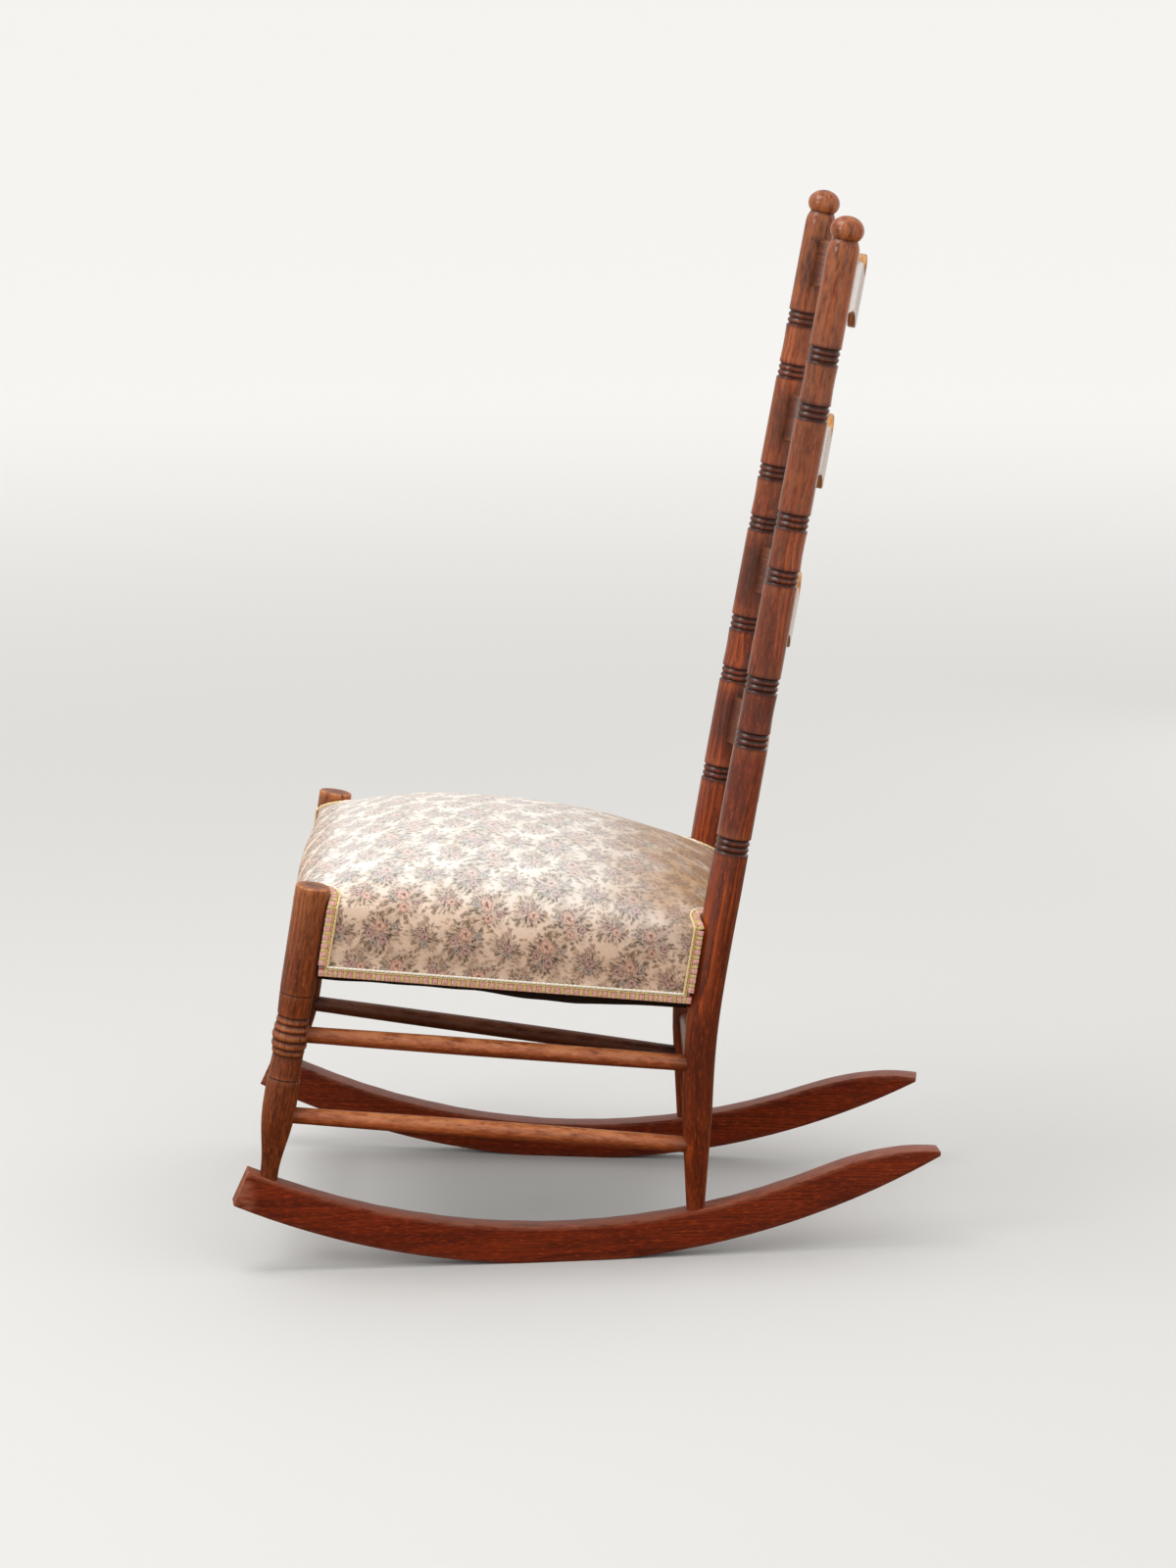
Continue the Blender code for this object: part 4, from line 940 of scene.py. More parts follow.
def crownedSpots(a, b, drop, inset, floor=0.0):  # drop runs from 0 at the rim to 1 at the walls' foot
    plan = seatPlan(wallOut - inset)
    x, y = onPlan(plan, a, b)
    power = np.where(b < 0.0, cover["frontPower"], cover["rearPower"])
    full = np.maximum((1.0 - np.abs(a) ** cover["acrossPower"]) * (1.0 - np.abs(b) ** power), 0.0)
    roll = cover["frontRoll"] * edgeEase(a) * np.exp(-(b + 1.0) / cover["rollReach"])
    wall = wallHeight(b)
    height = np.maximum((1.0 - drop) * wall, floor)
    share = np.maximum(height - cover["held"], 0.0) / (wall - cover["held"])
    swell = np.sin(math.pi * np.minimum(share, 1.0)) ** 2
    onWall = drop > 0.0
    front, rear = onWall & (b < -cover["rim"]), onWall & (b > cover["rim"])
    sides = onWall & ~front & ~rear
    bulge = share * roll + cover["frontBulge"] * swell * edgeEase(a)
    y = y - np.where(onWall, np.where(front, bulge, 0.0), roll)
    y = y + np.where(rear, cover["sideBulge"] * swell * edgeEase(a), 0.0)
    x = x + np.where(sides, np.sign(a) * cover["sideBulge"] * swell * edgeEase(b), 0.0)
    z = np.where(onWall, height, wall - inset + cover["crown"] * full ** cover["fullness"])
    return np.stack([x, y, z], axis=1)


def pickBorder(piece):
    makeActive(piece)
    bpy.ops.object.mode_set(mode="EDIT")
    bpy.ops.mesh.select_mode(type="EDGE")
    bpy.ops.mesh.select_all(action="DESELECT")
    bpy.ops.mesh.select_non_manifold(extend=False, use_boundary=True)


def dropWalls(piece, rows):  # the grid's border is extruded straight down, one row at a time
    pickBorder(piece)
    for _ in range(rows):
        bpy.ops.mesh.extrude_edges_move(TRANSFORM_OT_translate={"value": (0.0, 0.0, -1.0 / rows)})
    bpy.ops.object.mode_set(mode="OBJECT")


def cornerCutters():  # a round for each leg, and blocks for what lies outside it
    cutters = []
    corners = [(legAxis, side, leg["radius"] + cover["cutGap"], -1.0) for _, side in bothSides]
    corners += [(postAxis, side, post["seat"][1] + cover["cutGap"], 1.0) for _, side in bothSides]
    for axis, side, radius, rearward in corners:
        low, high = seatCrossing(axis, side, 0.0), seatCrossing(axis, side, cover["rearWall"])
        place = frameAt(0.5 * (low + high), high - low, across)
        deselectAll()
        bpy.ops.mesh.primitive_cylinder_add(vertices=64, radius=radius, depth=0.3)
        cutters.append(namePiece("round_cutter"))
        cutters[-1].data.transform(place)
        reach = 3.0 * radius
        for inX, inY in ((0.0, radius), (radius, 0.0)):
            deselectAll()
            bpy.ops.mesh.primitive_cube_add(size=1.0)
            block = namePiece("block_cutter")
            shift = Matrix.Translation((0.5 * side * (reach - inX), 0.5 * rearward * (reach - inY), 0.0))
            block.data.transform(place @ shift @ Matrix.Diagonal((reach + inX, reach + inY, 0.3, 1.0)))
            cutters.append(block)
    for cutter in cutters:  # the turned-in cloth keeps the scale of its pattern
        layer = cutter.data.uv_layers[0]
        layer.name = "cloth"
        for corner in cutter.data.loops:
            spot = cutter.data.vertices[corner.vertex_index].co
            layer.data[corner.index].uv = (spot.x + spot.y, spot.z)
    return cutters


def cutCorners(piece):
    for cutter in cornerCutters():
        finishWith(piece, "BOOLEAN", operation="DIFFERENCE", object=cutter, solver="MANIFOLD")
        bpy.data.objects.remove(cutter, do_unlink=True)


def fillBottom(piece):
    pickBorder(piece)
    bpy.ops.mesh.edge_face_add()
    bpy.ops.object.mode_set(mode="OBJECT")


def openBottom(piece):
    makeActive(piece)
    bpy.ops.object.mode_set(mode="EDIT")
    bpy.ops.mesh.select_mode(type="FACE")
    bpy.ops.mesh.select_all(action="DESELECT")
    bpy.ops.object.mode_set(mode="OBJECT")
    for face in piece.data.polygons:
        face.select = face.normal.z < -0.9 and face.center.z < 0.001
    bpy.ops.object.mode_set(mode="EDIT")
    bpy.ops.mesh.delete(type="FACE")
    bpy.ops.object.mode_set(mode="OBJECT")


def swellCloth(piece, pins):  # cloth under pressure, with its held edges pinned and its movement capped
    start = spotsOf(piece)
    group = piece.vertex_groups.new(name="held")
    for index, weight in enumerate(pins):
        if weight > 0.0:
            group.add([index], float(weight), "REPLACE")
    cloth = piece.modifiers.new("cloth", "CLOTH")
    for key, value in tension.items():
        setattr(cloth.settings, key, value)
    cloth.settings.effector_weights.gravity = 0.0
    cloth.point_cache.frame_start, cloth.point_cache.frame_end = 1, cover["frames"]
    for number in range(1, cover["frames"] + 1):
        bpy.context.scene.frame_set(number)
    makeActive(piece)
    bpy.ops.object.modifier_apply(modifier="cloth")
    bpy.context.scene.frame_set(1)
    piece.vertex_groups.clear()
    move = spotsOf(piece) - start
    far = np.linalg.norm(move, axis=1, keepdims=True)
    move *= np.minimum(1.0, cover["cap"] / np.maximum(far, 1e-9))
    print("cloth moved by up to %.1f mm, kept to %.1f mm" % (1000.0 * far.max(), 1000.0 * cover["cap"]))
    moveSpots(piece, start + move)


def lengthAlong(line):  # gone so far at each of its spots
    return np.concatenate([[0.0], np.cumsum(np.linalg.norm(np.diff(line, axis=0), axis=1))])


def spreadCloth(piece, a, b, drop):  # UVs in metres along the cloth, laid out from the middle of the seat
    count = 160
    steps = np.linspace(-1.0, 1.0, count + 1)
    uv = np.zeros((len(a), 2))
    for axis in (0, 1):
        lengths = []
        for held in steps:
            other = np.full_like(steps, held)
            spots = (steps, other) if axis == 0 else (other, steps)
            gone = lengthAlong(crownedSpots(*spots, steps * 0.0, 0.0))
            lengths.append(gone - gone[count // 2])
        lengths = np.array(lengths)
        along, side = (a, b) if axis == 0 else (b, a)
        row = np.clip((side + 1.0) * 0.5 * count, 0.0, count)
        low = np.floor(row).astype(int).clip(0, count - 1)
        part = row - low
        for index in range(len(a)):
            line = lengths[low[index]] * (1.0 - part[index]) + lengths[low[index] + 1] * part[index]
            uv[index, axis] = np.interp(along[index], steps, line)
    wall = drop * wallHeight(b)
    ends = np.abs(b) > cover["rim"]
    uv[:, 1] += np.where(ends, np.sign(b) * wall, 0.0)
    uv[:, 0] += np.where(ends, 0.0, np.sign(a) * wall * (np.abs(a) > cover["rim"]))
    layer = piece.data.uv_layers[0] if piece.data.uv_layers else piece.data.uv_layers.new(name="cloth")
    corners = np.empty(len(piece.data.loops), dtype=np.int32)
    piece.data.loops.foreach_get("vertex_index", corners)
    layer.data.foreach_set("uv", uv[corners].astype(np.float32).ravel())
    layer.name = "cloth"


def makeCover():
    piece = addGrid("seat_cover_cloth", cover["grid"], cover["grid"])
    dropWalls(piece, cover["wallRows"])
    flat = spotsOf(piece)
    a, b = planShares(flat)
    drop = unit(-flat[:, 2])
    spreadCloth(piece, a, b, drop)
    coords = crownedSpots(a, b, drop, cover["inset"])
    held = unit((cover["pinnedBelow"] - (1.0 - drop) * wallHeight(b)) / cover["pinnedRun"])
    corner = [beyond(np.abs(share), cover["cornerFrom"], cover["cornerRun"]) for share in (a, b)]
    pins = np.maximum((drop > 0.0) * held, corner[0] * corner[1])
    lumps = sum(size * ripple(coords, length, seed) for size, length, seed in cover["lumps"])
    calm = unit((1.0 - np.maximum(np.abs(a), np.abs(b))) / cover["calmRim"])
    coords[:, 2] += lumps * (drop == 0.0) * calm
    moveSpots(piece, coords)
    cleanMesh(piece)
    swellCloth(piece, pins)
    finishWith(piece, "SUBSURF", levels=1, render_levels=1, uv_smooth="PRESERVE_BOUNDARIES")
    fillBottom(piece)
    cleanMesh(piece)
    cutCorners(piece)
    openBottom(piece)
    finishWith(piece, "SOLIDIFY", thickness=cover["thickness"], offset=-1.0, use_even_offset=False)
    piece.data.transform(placeSeat)
    smoothShade(piece, 60.0)
    return piece


coverPiece = makeCover()


# Tapestry: bouquets of roses among dabs of leaf colour on a half-drop repeat, drawn thread by thread

# The soil tone stands for soiling and painted shade towards the back of the seat
tapestry = {"across": 55.0, "along": 60.0, "scale": 1.28, "thread": 0.55, "ground": linear(246, 240, 234),
            # the rubbed tone is a painted warm shade with bounce light, multiplied over the walls
            "shadow": linear(243, 232, 218), "soilAndShade": linear(200, 158, 112), "rubbedAndLit": linear(252, 230, 212)}
motif = (("Colour", "Color"), ("Mask", "Float"))
nearTones = ((0.0, linear(82, 82, 70)), (0.14, linear(152, 136, 140)), (0.28, linear(124, 116, 90)),
             (0.40, linear(174, 168, 172)), (0.52, linear(94, 86, 76)), (0.66, linear(188, 158, 154)),
             (0.78, linear(112, 112, 104)), (0.90, linear(216, 204, 194)))
farTones = ((0.0, linear(106, 100, 78)), (0.22, linear(192, 170, 146)), (0.40, linear(130, 124, 106)),
            (0.58, linear(172, 154, 148)), (0.76, linear(92, 88, 72)), (0.90, linear(204, 188, 164)))


def makeStrokes(name):  # blunt dabs that fan out from a bouquet's middle
    tree, given, result = startGroup(
        name, (("Spot", "Vector", nowhere), ("Seed", "Float", 0.0), ("Size", "Float", 1.0)), motif)
    spot = given["Spot"]
    radius = vectorCalc(tree, "LENGTH", spot)
    around = vectorCalc(tree, "NORMALIZE", spot)
    ways = parts(tree, scaled(tree, around, 6.2))
    fan = joined(tree, plus(tree, ways[0], given["Seed"]), ways[1], times(tree, radius, 0.23))
    cell, colour = cellsOn(tree, fan)
    picks = parts(tree, colour)
    stroke = ease(tree, cell, 0.72, 0.38)
    around = shifted(tree, scaled(tree, around, 1.5), joined(tree, given["Seed"], 3.0, 0.0))
    lobes = noiseOn(tree, around, 1.0, 1.0)
    reach = times(tree, timesPlus(tree, lobes, 19.0, 9.5), given["Size"])  # an uneven outline
    share = calc(tree, "DIVIDE", radius, reach)
    chance = ease(tree, share, 0.70, 1.20, 1.0, 0.04)
    present = calc(tree, "LESS_THAN", picks[0], chance)
    mask = times(tree, stroke, present)
    near, far = ramp(tree, picks[1], nearTones, True), ramp(tree, picks[1], farTones, True)
    fanned = blend(tree, ease(tree, share, 0.5, 0.85), near, far)
    wash = times(tree, ease(tree, share, 1.15, 0.55), 0.52)
    strong = times(tree, mask, ease(tree, share, 0.6, 1.1, 1.0, 0.75))
    give(tree, result, Colour=blend(tree, strong, linear(186, 170, 160), fanned),
         Mask=calc(tree, "MAXIMUM", strong, wash))
    return tree


def makeRose():  # petals curl round a dark heart
    tree, given, result = startGroup(
        "rose", (("Spot", "Vector", nowhere), ("Radius", "Float", 7.0), ("Heart", "Color", black),
                 ("Petal", "Color", black), ("Pale", "Color", black), ("Edge", "Color", black)), motif)
    places = parts(tree, given["Spot"])
    radius = calc(tree, "DIVIDE", vectorCalc(tree, "LENGTH", given["Spot"]), given["Radius"])
    angle = calc(tree, "ARCTAN2", places[1], places[0])
    curl = calc(tree, "SINE", plus(tree, times(tree, angle, 3.0), times(tree, radius, 7.0)))
    bent = timesPlus(tree, curl, 0.11, radius)
    wave = timesPlus(tree, sineOf(tree, bent, 17.0), 0.5, 0.5)
    colour = blend(tree, ease(tree, wave, 0.25, 0.75), given["Petal"], given["Pale"])
    colour = blend(tree, ease(tree, bent, 0.72, 0.95), colour, given["Edge"])
    colour = blend(tree, ease(tree, bent, 0.30, 0.12), colour, given["Heart"])
    scallop = timesPlus(tree, sineOf(tree, angle, 5.0), 0.10, radius)
    give(tree, result, Colour=colour, Mask=ease(tree, scallop, 1.04, 0.94))
    return tree


strokeGroup = makeStrokes("leafStrokes")
roseGroup = makeRose()
peach = (linear(138, 92, 86), linear(206, 174, 166), linear(234, 217, 209), linear(166, 136, 128))
mauve = (linear(120, 86, 92), linear(178, 152, 156), linear(218, 204, 204), linear(138, 116, 118))
greyBlue = (linear(108, 100, 92), linear(160, 160, 164), linear(208, 208, 208), linear(122, 122, 118))
bouquets = {
    "sprigOne": {"turn": 1.1, "seed": 9.1, "size": 0.70, "shift": (0.53, 0.24), "flowers": (
        ((-5.4, -3.8), 2.4, greyBlue), ((4.0, -2.6), 3.2, mauve), ((-1.6, 2.4), 4.2, peach))},
    "sprigTwo": {"turn": 3.4, "seed": 13.7, "size": 0.64, "shift": (-0.03, 0.49), "flowers": (
        ((5.2, 4.0), 2.4, mauve), ((-3.6, -2.2), 3.4, greyBlue), ((1.8, -0.8), 3.8, mauve))},
    "bouquetOne": {"turn": 0.4, "seed": 0.0, "size": 0.90, "shift": (0.0, 0.0), "flowers": (
        ((-8.6, 6.4), 2.8, greyBlue), ((9.6, -1.2), 2.8, greyBlue), ((4.2, -6.6), 3.6, mauve),
        ((4.6, 4.8), 4.2, mauve), ((-4.6, -1.8), 5.2, peach))},
    "bouquetTwo": {"turn": 2.3, "seed": 5.3, "size": 0.86, "shift": (0.48, 0.74), "flowers": (
        ((8.8, 5.6), 2.6, greyBlue), ((-8.2, -5.0), 3.0, mauve), ((-5.0, 5.4), 4.0, peach),
        ((3.8, -1.6), 5.4, peach))}}


def makeBouquet(name):
    kind = bouquets[name]
    tree, given, result = startGroup(name, (("Spot", "Vector", nowhere),), motif)
    spun = addNode(tree, "ShaderNodeVectorRotate", rotation_type="Z_AXIS")
    feed(tree, spun.inputs["Vector"], given["Spot"])
    spun.inputs["Angle"].default_value = kind["turn"]
    spot = spun.outputs[0]
    made = useGroup(tree, strokeGroup, Spot=spot, Seed=kind["seed"], Size=kind["size"])
    colour, mask = made["Colour"], made["Mask"]
    for place, size, (heart, petal, pale, edge) in kind["flowers"]:
        local = vectorCalc(tree, "SUBTRACT", spot, (*place, 0.0))
        flower = useGroup(tree, roseGroup, Spot=local, Radius=size, Heart=heart, Petal=petal, Pale=pale,
                          Edge=edge)
        colour = blend(tree, flower["Mask"], colour, flower["Colour"])
        mask = calc(tree, "MAXIMUM", mask, flower["Mask"])
    give(tree, result, Colour=colour, Mask=mask)
    return tree


def makeTapestryGroup():
    tree, given, result = startGroup("tapestry", (("Cloth", "Vector", nowhere),),
                                     (("Colour", "Color"), ("Height", "Float")))
    threads = scaled(tree, given["Cloth"], 1000.0)  # millimetres
    snapped = vectorCalc(tree, "SNAP", threads, (tapestry["thread"],) * 3)
    drift = driftOn(tree, snapped, 0.35, 3.0)
    wander = scaled(tree, vectorCalc(tree, "SUBTRACT", drift, halfway), 3.0)
    stray = addNode(tree, "ShaderNodeTexWhiteNoise", noise_dimensions="3D")
    feed(tree, stray.inputs["Vector"], snapped)
    wander = shifted(tree, wander, scaled(tree, stray.outputs["Color"], 0.8))
    wander = shifted(tree, wander, scaled(tree, driftOn(tree, snapped, 0.045, 1.0), 9.0))
    shrink = 1.0 / tapestry["scale"]
    drawn = stretch(tree, shifted(tree, snapped, wander), (shrink, shrink, 0.0))
    speck = noiseOn(tree, snapped, 1.1, 2.0, 0.7)
    broad = noiseOn(tree, threads, 0.03, 2.0)
    cloudy = times(tree, ease(tree, broad, 0.4, 0.7), 0.5)
    colour = blend(tree, cloudy, tapestry["ground"], tapestry["shadow"])
    sprigCell, sprigColour = cellsOn(tree, stretch(tree, drawn, (0.36, 0.16, 0.0)))
    sprigPick = parts(tree, sprigColour)
    sprig = times(tree, ease(tree, sprigCell, 0.42, 0.26), calc(tree, "LESS_THAN", sprigPick[0], 0.34))
    sprigTone = ramp(tree, sprigPick[1], ((0.0, linear(206, 184, 156)), (0.4, linear(190, 172, 160)),
                                          (0.7, linear(176, 164, 136))), True)
    colour = blend(tree, times(tree, sprig, 0.75), colour, sprigTone)
    spread = parts(tree, given["Cloth"])
    edge = calc(tree, "MAXIMUM", calc(tree, "ABSOLUTE", spread[0]), calc(tree, "ABSOLUTE", spread[1]))
    patternUnderLight = ease(tree, edge, 0.15, 0.22, 0.64, 0.98)  # the pattern shows less on the top than on the walls: painted highlight washing out the lit top
    wide, long = tapestry["across"], tapestry["along"]
    for name, kind in bouquets.items():
        right, back = kind["shift"]
        moved = shifted(tree, drawn, ((right + 20.0) * wide, (back + 20.0) * long, 0.0))  # kept above zero
        wrapped = vectorCalc(tree, "MODULO", moved, (wide, long, 1.0))
        local = vectorCalc(tree, "SUBTRACT", wrapped, (0.5 * wide, 0.5 * long, 0.0))
        made = useGroup(tree, makeBouquet(name), Spot=local)
        colour = blend(tree, times(tree, made["Mask"], patternUnderLight), colour, made["Colour"])
    soilAndShade = ease(tree, spread[1], 0.03, 0.19)  # browner towards the back: partly soiling, partly painted shade from the chair's back
    soilAndShade = times(tree, soilAndShade, ease(tree, broad, 0.25, 0.6, 0.6, 1.0))
    soilAndShade = times(tree, soilAndShade, ease(tree, calc(tree, "ABSOLUTE", spread[0]), 0.16, 0.21, 1.0, 0.2))
    colour = blend(tree, soilAndShade, colour, blend(tree, 1.0, colour, tapestry["soilAndShade"], "MULTIPLY"))
    # the walls get a warm peach multiply: painted shade with warm bounce light
    wallsWarmShade = blend(tree, 1.0, colour, tapestry["rubbedAndLit"], "MULTIPLY")
    colour = blend(tree, ease(tree, edge, 0.17, 0.23), colour, wallsWarmShade)
    light = ease(tree, speck, 0.30, 0.74, 0.84, 1.10)
    colour = blend(tree, 1.0, colour, joined(tree, light, light, light), "MULTIPLY")
    places = parts(tree, threads)
    warp = sineOf(tree, places[0], math.pi / tapestry["thread"])
    weft = sineOf(tree, places[1], math.tau / tapestry["thread"])
    height = timesPlus(tree, times(tree, warp, weft), 0.3, times(tree, speck, 0.9))
    give(tree, result, Colour=colour, Height=height)
    return tree


def makeTapestry():
    material, tree, shader = startMaterial("tapestryCloth")
    cloth = addNode(tree, "ShaderNodeUVMap", uv_map="cloth").outputs[0]
    made = useGroup(tree, makeTapestryGroup(), Cloth=cloth)
    feed(tree, shader.inputs["Base Color"], made["Colour"])
    setSockets(shader, {"Roughness": 0.88, "Sheen Weight": 0.15, "Sheen Roughness": 0.5,
                        "Specular IOR Level": 0.2})
    roughen(tree, shader, made["Height"], 0.55, 0.0005)
    return material


seat(coverPiece, ["seat_cover"], makeTapestry())
print("tapestry done")


# Gimp braid: pink blocks wrapped over a band, gold thread between them, a pale cord along the inner edge

gimp = {"width": 0.0105, "topMargin": 0.0015, "tuck": 0.0026, "pitch": 0.0086, "blockWidth": 0.0049,
        "blockHeight": 0.0074, "blockDepth": 0.0017, "goldWidth": 0.0034, "cord": 0.00135,
        "goldCord": 0.0006, "twist": 0.0042, "standOff": 0.0002, "offMiddle": 0.0011, "cordStep": 0.0009,
        "cordSides": 12, "strands": 3, "cordIn": 0.0012, "cordLift": 0.0003, "goldIn": 0.0019,
        "goldLift": 0.0008, "cordTop": 0.004, "mitre": 1.65, "collarGap": 0.0006,
        "collarIn": (0.0030, 0.0065), "collarOut": (0.0035, 0.0),
        "collarTurns": (12.0, 24.0, 36.0, 48.0, 58.0)}


def makeThread(name, lines, *tones):
    material, tree, shader = startMaterial(name)
    place = readAttribute(tree, "thread")
    spread = scaled(tree, place, 1000.0)
    axes = parts(tree, spread)
    ridge = sineOf(tree, axes[0], math.tau / lines)
    world = ownPlace(tree)
    change = noiseOn(tree, world, 420.0, 3.0, 0.6)
    shade = timesPlus(tree, ridge, 0.22, change)
    dark, middle, pale, edge, turned = [linear(*tone) for tone in tones]
    colour = ramp(tree, shade, ((0.22, dark), (0.5, middle), (0.78, pale)))
    # along the knobs' inner edge, under the pale cord, the edge tone comes in: partly darker thread, partly
    # painted shade under the cord
    colour = blend(tree, ease(tree, axes[1], 1.4, 3.6), colour, edge)
    colour = blend(tree, ease(tree, axes[2], 1.4, 2.6, 0.0, 0.75), colour, turned)
    feed(tree, shader.inputs["Base Color"], colour)
    setSockets(shader, {"Roughness": 0.72, "Sheen Weight": 0.2, "Specular IOR Level": 0.3})
    roughen(tree, shader, timesPlus(tree, ridge, 0.5, change), 0.6, 0.0006)
    return material


# each thread's fourth tone is its inner-edge tone, darker in part as painted shade under the pale cord
pinkThread = makeThread("pinkThread", 1.1, (192, 108, 100), (240, 178, 166), (254, 222, 210),
                        (162, 62, 48), (240, 178, 166))
goldThread = makeThread("goldThread", 0.9, (190, 156, 78), (234, 208, 134), (250, 236, 188),
                        (208, 168, 84), (214, 172, 86))
paleThread = makeThread("paleThread", 0.9, (236, 222, 192), (253, 247, 230), (255, 253, 246),
                        (246, 236, 212), (226, 196, 128))


def makeKnob(name, width, height, depth, material):  # a rounded bar that lies across the band
    deselectAll()
    bpy.ops.mesh.primitive_cube_add(size=1.0)
    piece = namePiece(name)
    bpy.ops.object.mode_set(mode="EDIT")
    bpy.ops.mesh.select_all(action="SELECT")
    bpy.ops.transform.resize(value=(width, height, depth))
    bpy.ops.mesh.bevel(offset=0.42 * depth, segments=2, affect="EDGES")
    bpy.ops.object.mode_set(mode="OBJECT")
    storeVectors(piece, "thread", spotsOf(piece))
    piece.data.materials.append(material)
    return piece


def makeCord(name, points, radius, twist, material):  # strands laid round each other
    sides, strands = gimp["cordSides"], gimp["strands"]
    line = np.array([tuple(point) for point in points])
    lengths = lengthAlong(line)
    count = int(lengths[-1] / gimp["cordStep"])
    deselectAll()
    bpy.ops.mesh.primitive_cylinder_add(vertices=sides, radius=1.0, depth=2.0)
    piece = namePiece(name)
    mesh = piece.data
    rings, faces = [], []
    gone = np.linspace(0.0, lengths[-1], count)
    middle = np.stack([np.interp(gone, lengths, line[:, axis]) for axis in range(3)], axis=1)
    ahead = np.gradient(middle, axis=0)
    ahead /= np.linalg.norm(ahead, axis=1, keepdims=True)
    for index in range(count):
        side = np.cross(ahead[index], (0.37, 0.55, 0.75))
        side /= np.linalg.norm(side)
        other = np.cross(side, ahead[index])
        for step in range(sides):
            turn = math.tau * step / sides
            lobe = 0.84 + 0.16 * math.cos(strands * turn - math.tau * gone[index] / twist)
            off = math.cos(turn) * side + math.sin(turn) * other
            rings.append(middle[index] + radius * lobe * off)
    for index in range(count - 1):
        for step in range(sides):
            here, there = index * sides + step, index * sides + (step + 1) % sides
            faces.append((here, there, there + sides, here + sides))
    faces.append(tuple(range(sides))[::-1])
    faces.append(tuple((count - 1) * sides + step for step in range(sides)))
    mesh.clear_geometry()
    mesh.from_pydata([tuple(spot) for spot in rings], [], faces)
    mesh.update()
    turned = np.repeat(0.003 * (1.0 - np.abs(ahead[:, 0])), sides)  # runs up beside a leg
    thread = np.stack([np.repeat(gone, sides) * 0.45, np.full(len(rings), -0.002), turned], axis=1)
    storeVectors(piece, "thread", thread)
    mesh.materials.clear()
    mesh.materials.append(material)
    cleanMesh(piece)
    return piece


def layRun(block, bar, start, end, inner):  # knobs along one straight run
    along = end - start
    count = max(int(round(along.length / gimp["pitch"])), 1)
    pitch = along.length / count
    turn = Matrix((along.normalized(), inner, along.normalized().cross(inner))).transposed().to_4x4()
    made = []
    for source, offset in ((block, 0.5), (bar, 1.0)):
        piece = copyPiece(source, "run")
        finishWith(piece, "ARRAY", count=count if source is block else max(count - 1, 1),
                   use_relative_offset=False, use_constant_offset=True,
                   constant_offset_displace=(pitch, 0.0, 0.0))
        first = start + along.normalized() * pitch * offset
        piece.data.transform(Matrix.Translation(first) @ turn)
        made.append(piece)
    return made


def collarPath(axis, side, radius, way, along, outward, begin, inWall):  # over the cloth, round the leg
    middle = seatCrossing(axis, side, begin.y)
    half, depth = 0.5 * gimp["width"], gimp["standOff"] + 0.5 * gimp["blockDepth"]
    stops = [(wallOut - reach, 0.0) for reach in gimp["collarIn"]]
    stops += [(reach, 0.0) for reach in gimp["collarOut"]]
    stops += [(0.0, math.radians(angle)) for angle in gimp["collarTurns"]]
    spots, faces, inners = [begin], [Vector((0.0, 0.0, 1.0))], [Vector((way, 0.0, 0.0))]
    for reach, angle in stops:
        off = way * along * math.cos(angle) - outward * math.sin(angle)  # away from the leg
        ring = radius + gimp["collarGap"] + half - gimp["tuck"] * reach / wallOut
        flat = middle + off * ring + outward * reach
        above = placeSeat @ Vector((flat.x, flat.y, 0.20))
        hit, spot, normal, _ = coverPiece.ray_cast(above, placeSeat.to_3x3() @ -up)
        if not hit:
            continue
        spots.append(inWall @ (spot + normal * depth))
        faces.append((inWall.to_3x3() @ normal).normalized())
        inners.append((inWall.to_3x3() @ placeSeat.to_3x3() @ off).normalized())
    return spots, faces, inners


def layPath(block, bar, spots, faces, inners):  # knobs along a bent run
    line = np.array([tuple(spot) for spot in spots])
    gone = lengthAlong(line)
    count = max(int(round(gone[-1] / gimp["pitch"])), 1)
    pitch = gone[-1] / count
    made = []

    def between(values, place):
        return Vector([np.interp(place, gone, [value[axis] for value in values]) for axis in range(3)])

    for source, offset in ((block, 0.5), (bar, 0.0)):
        for index in range(count):
            place = (index + offset) * pitch
            ahead = between(spots, place + 0.001) - between(spots, place - 0.001)
            face = between(faces, place).normalized()
            inner = between(inners, place)
            ahead = (ahead - face * ahead.dot(face)).normalized()
            inner = (inner - face * inner.dot(face) - ahead * inner.dot(ahead)).normalized()
            piece = copyPiece(source, "run")
            turn = Matrix((inner.cross(face), inner, face)).transposed().to_4x4()
            spot = between(spots, place) - inner * gimp["offMiddle"]
            piece.data.transform(Matrix.Translation(spot) @ turn)
            made.append(piece)
    return made


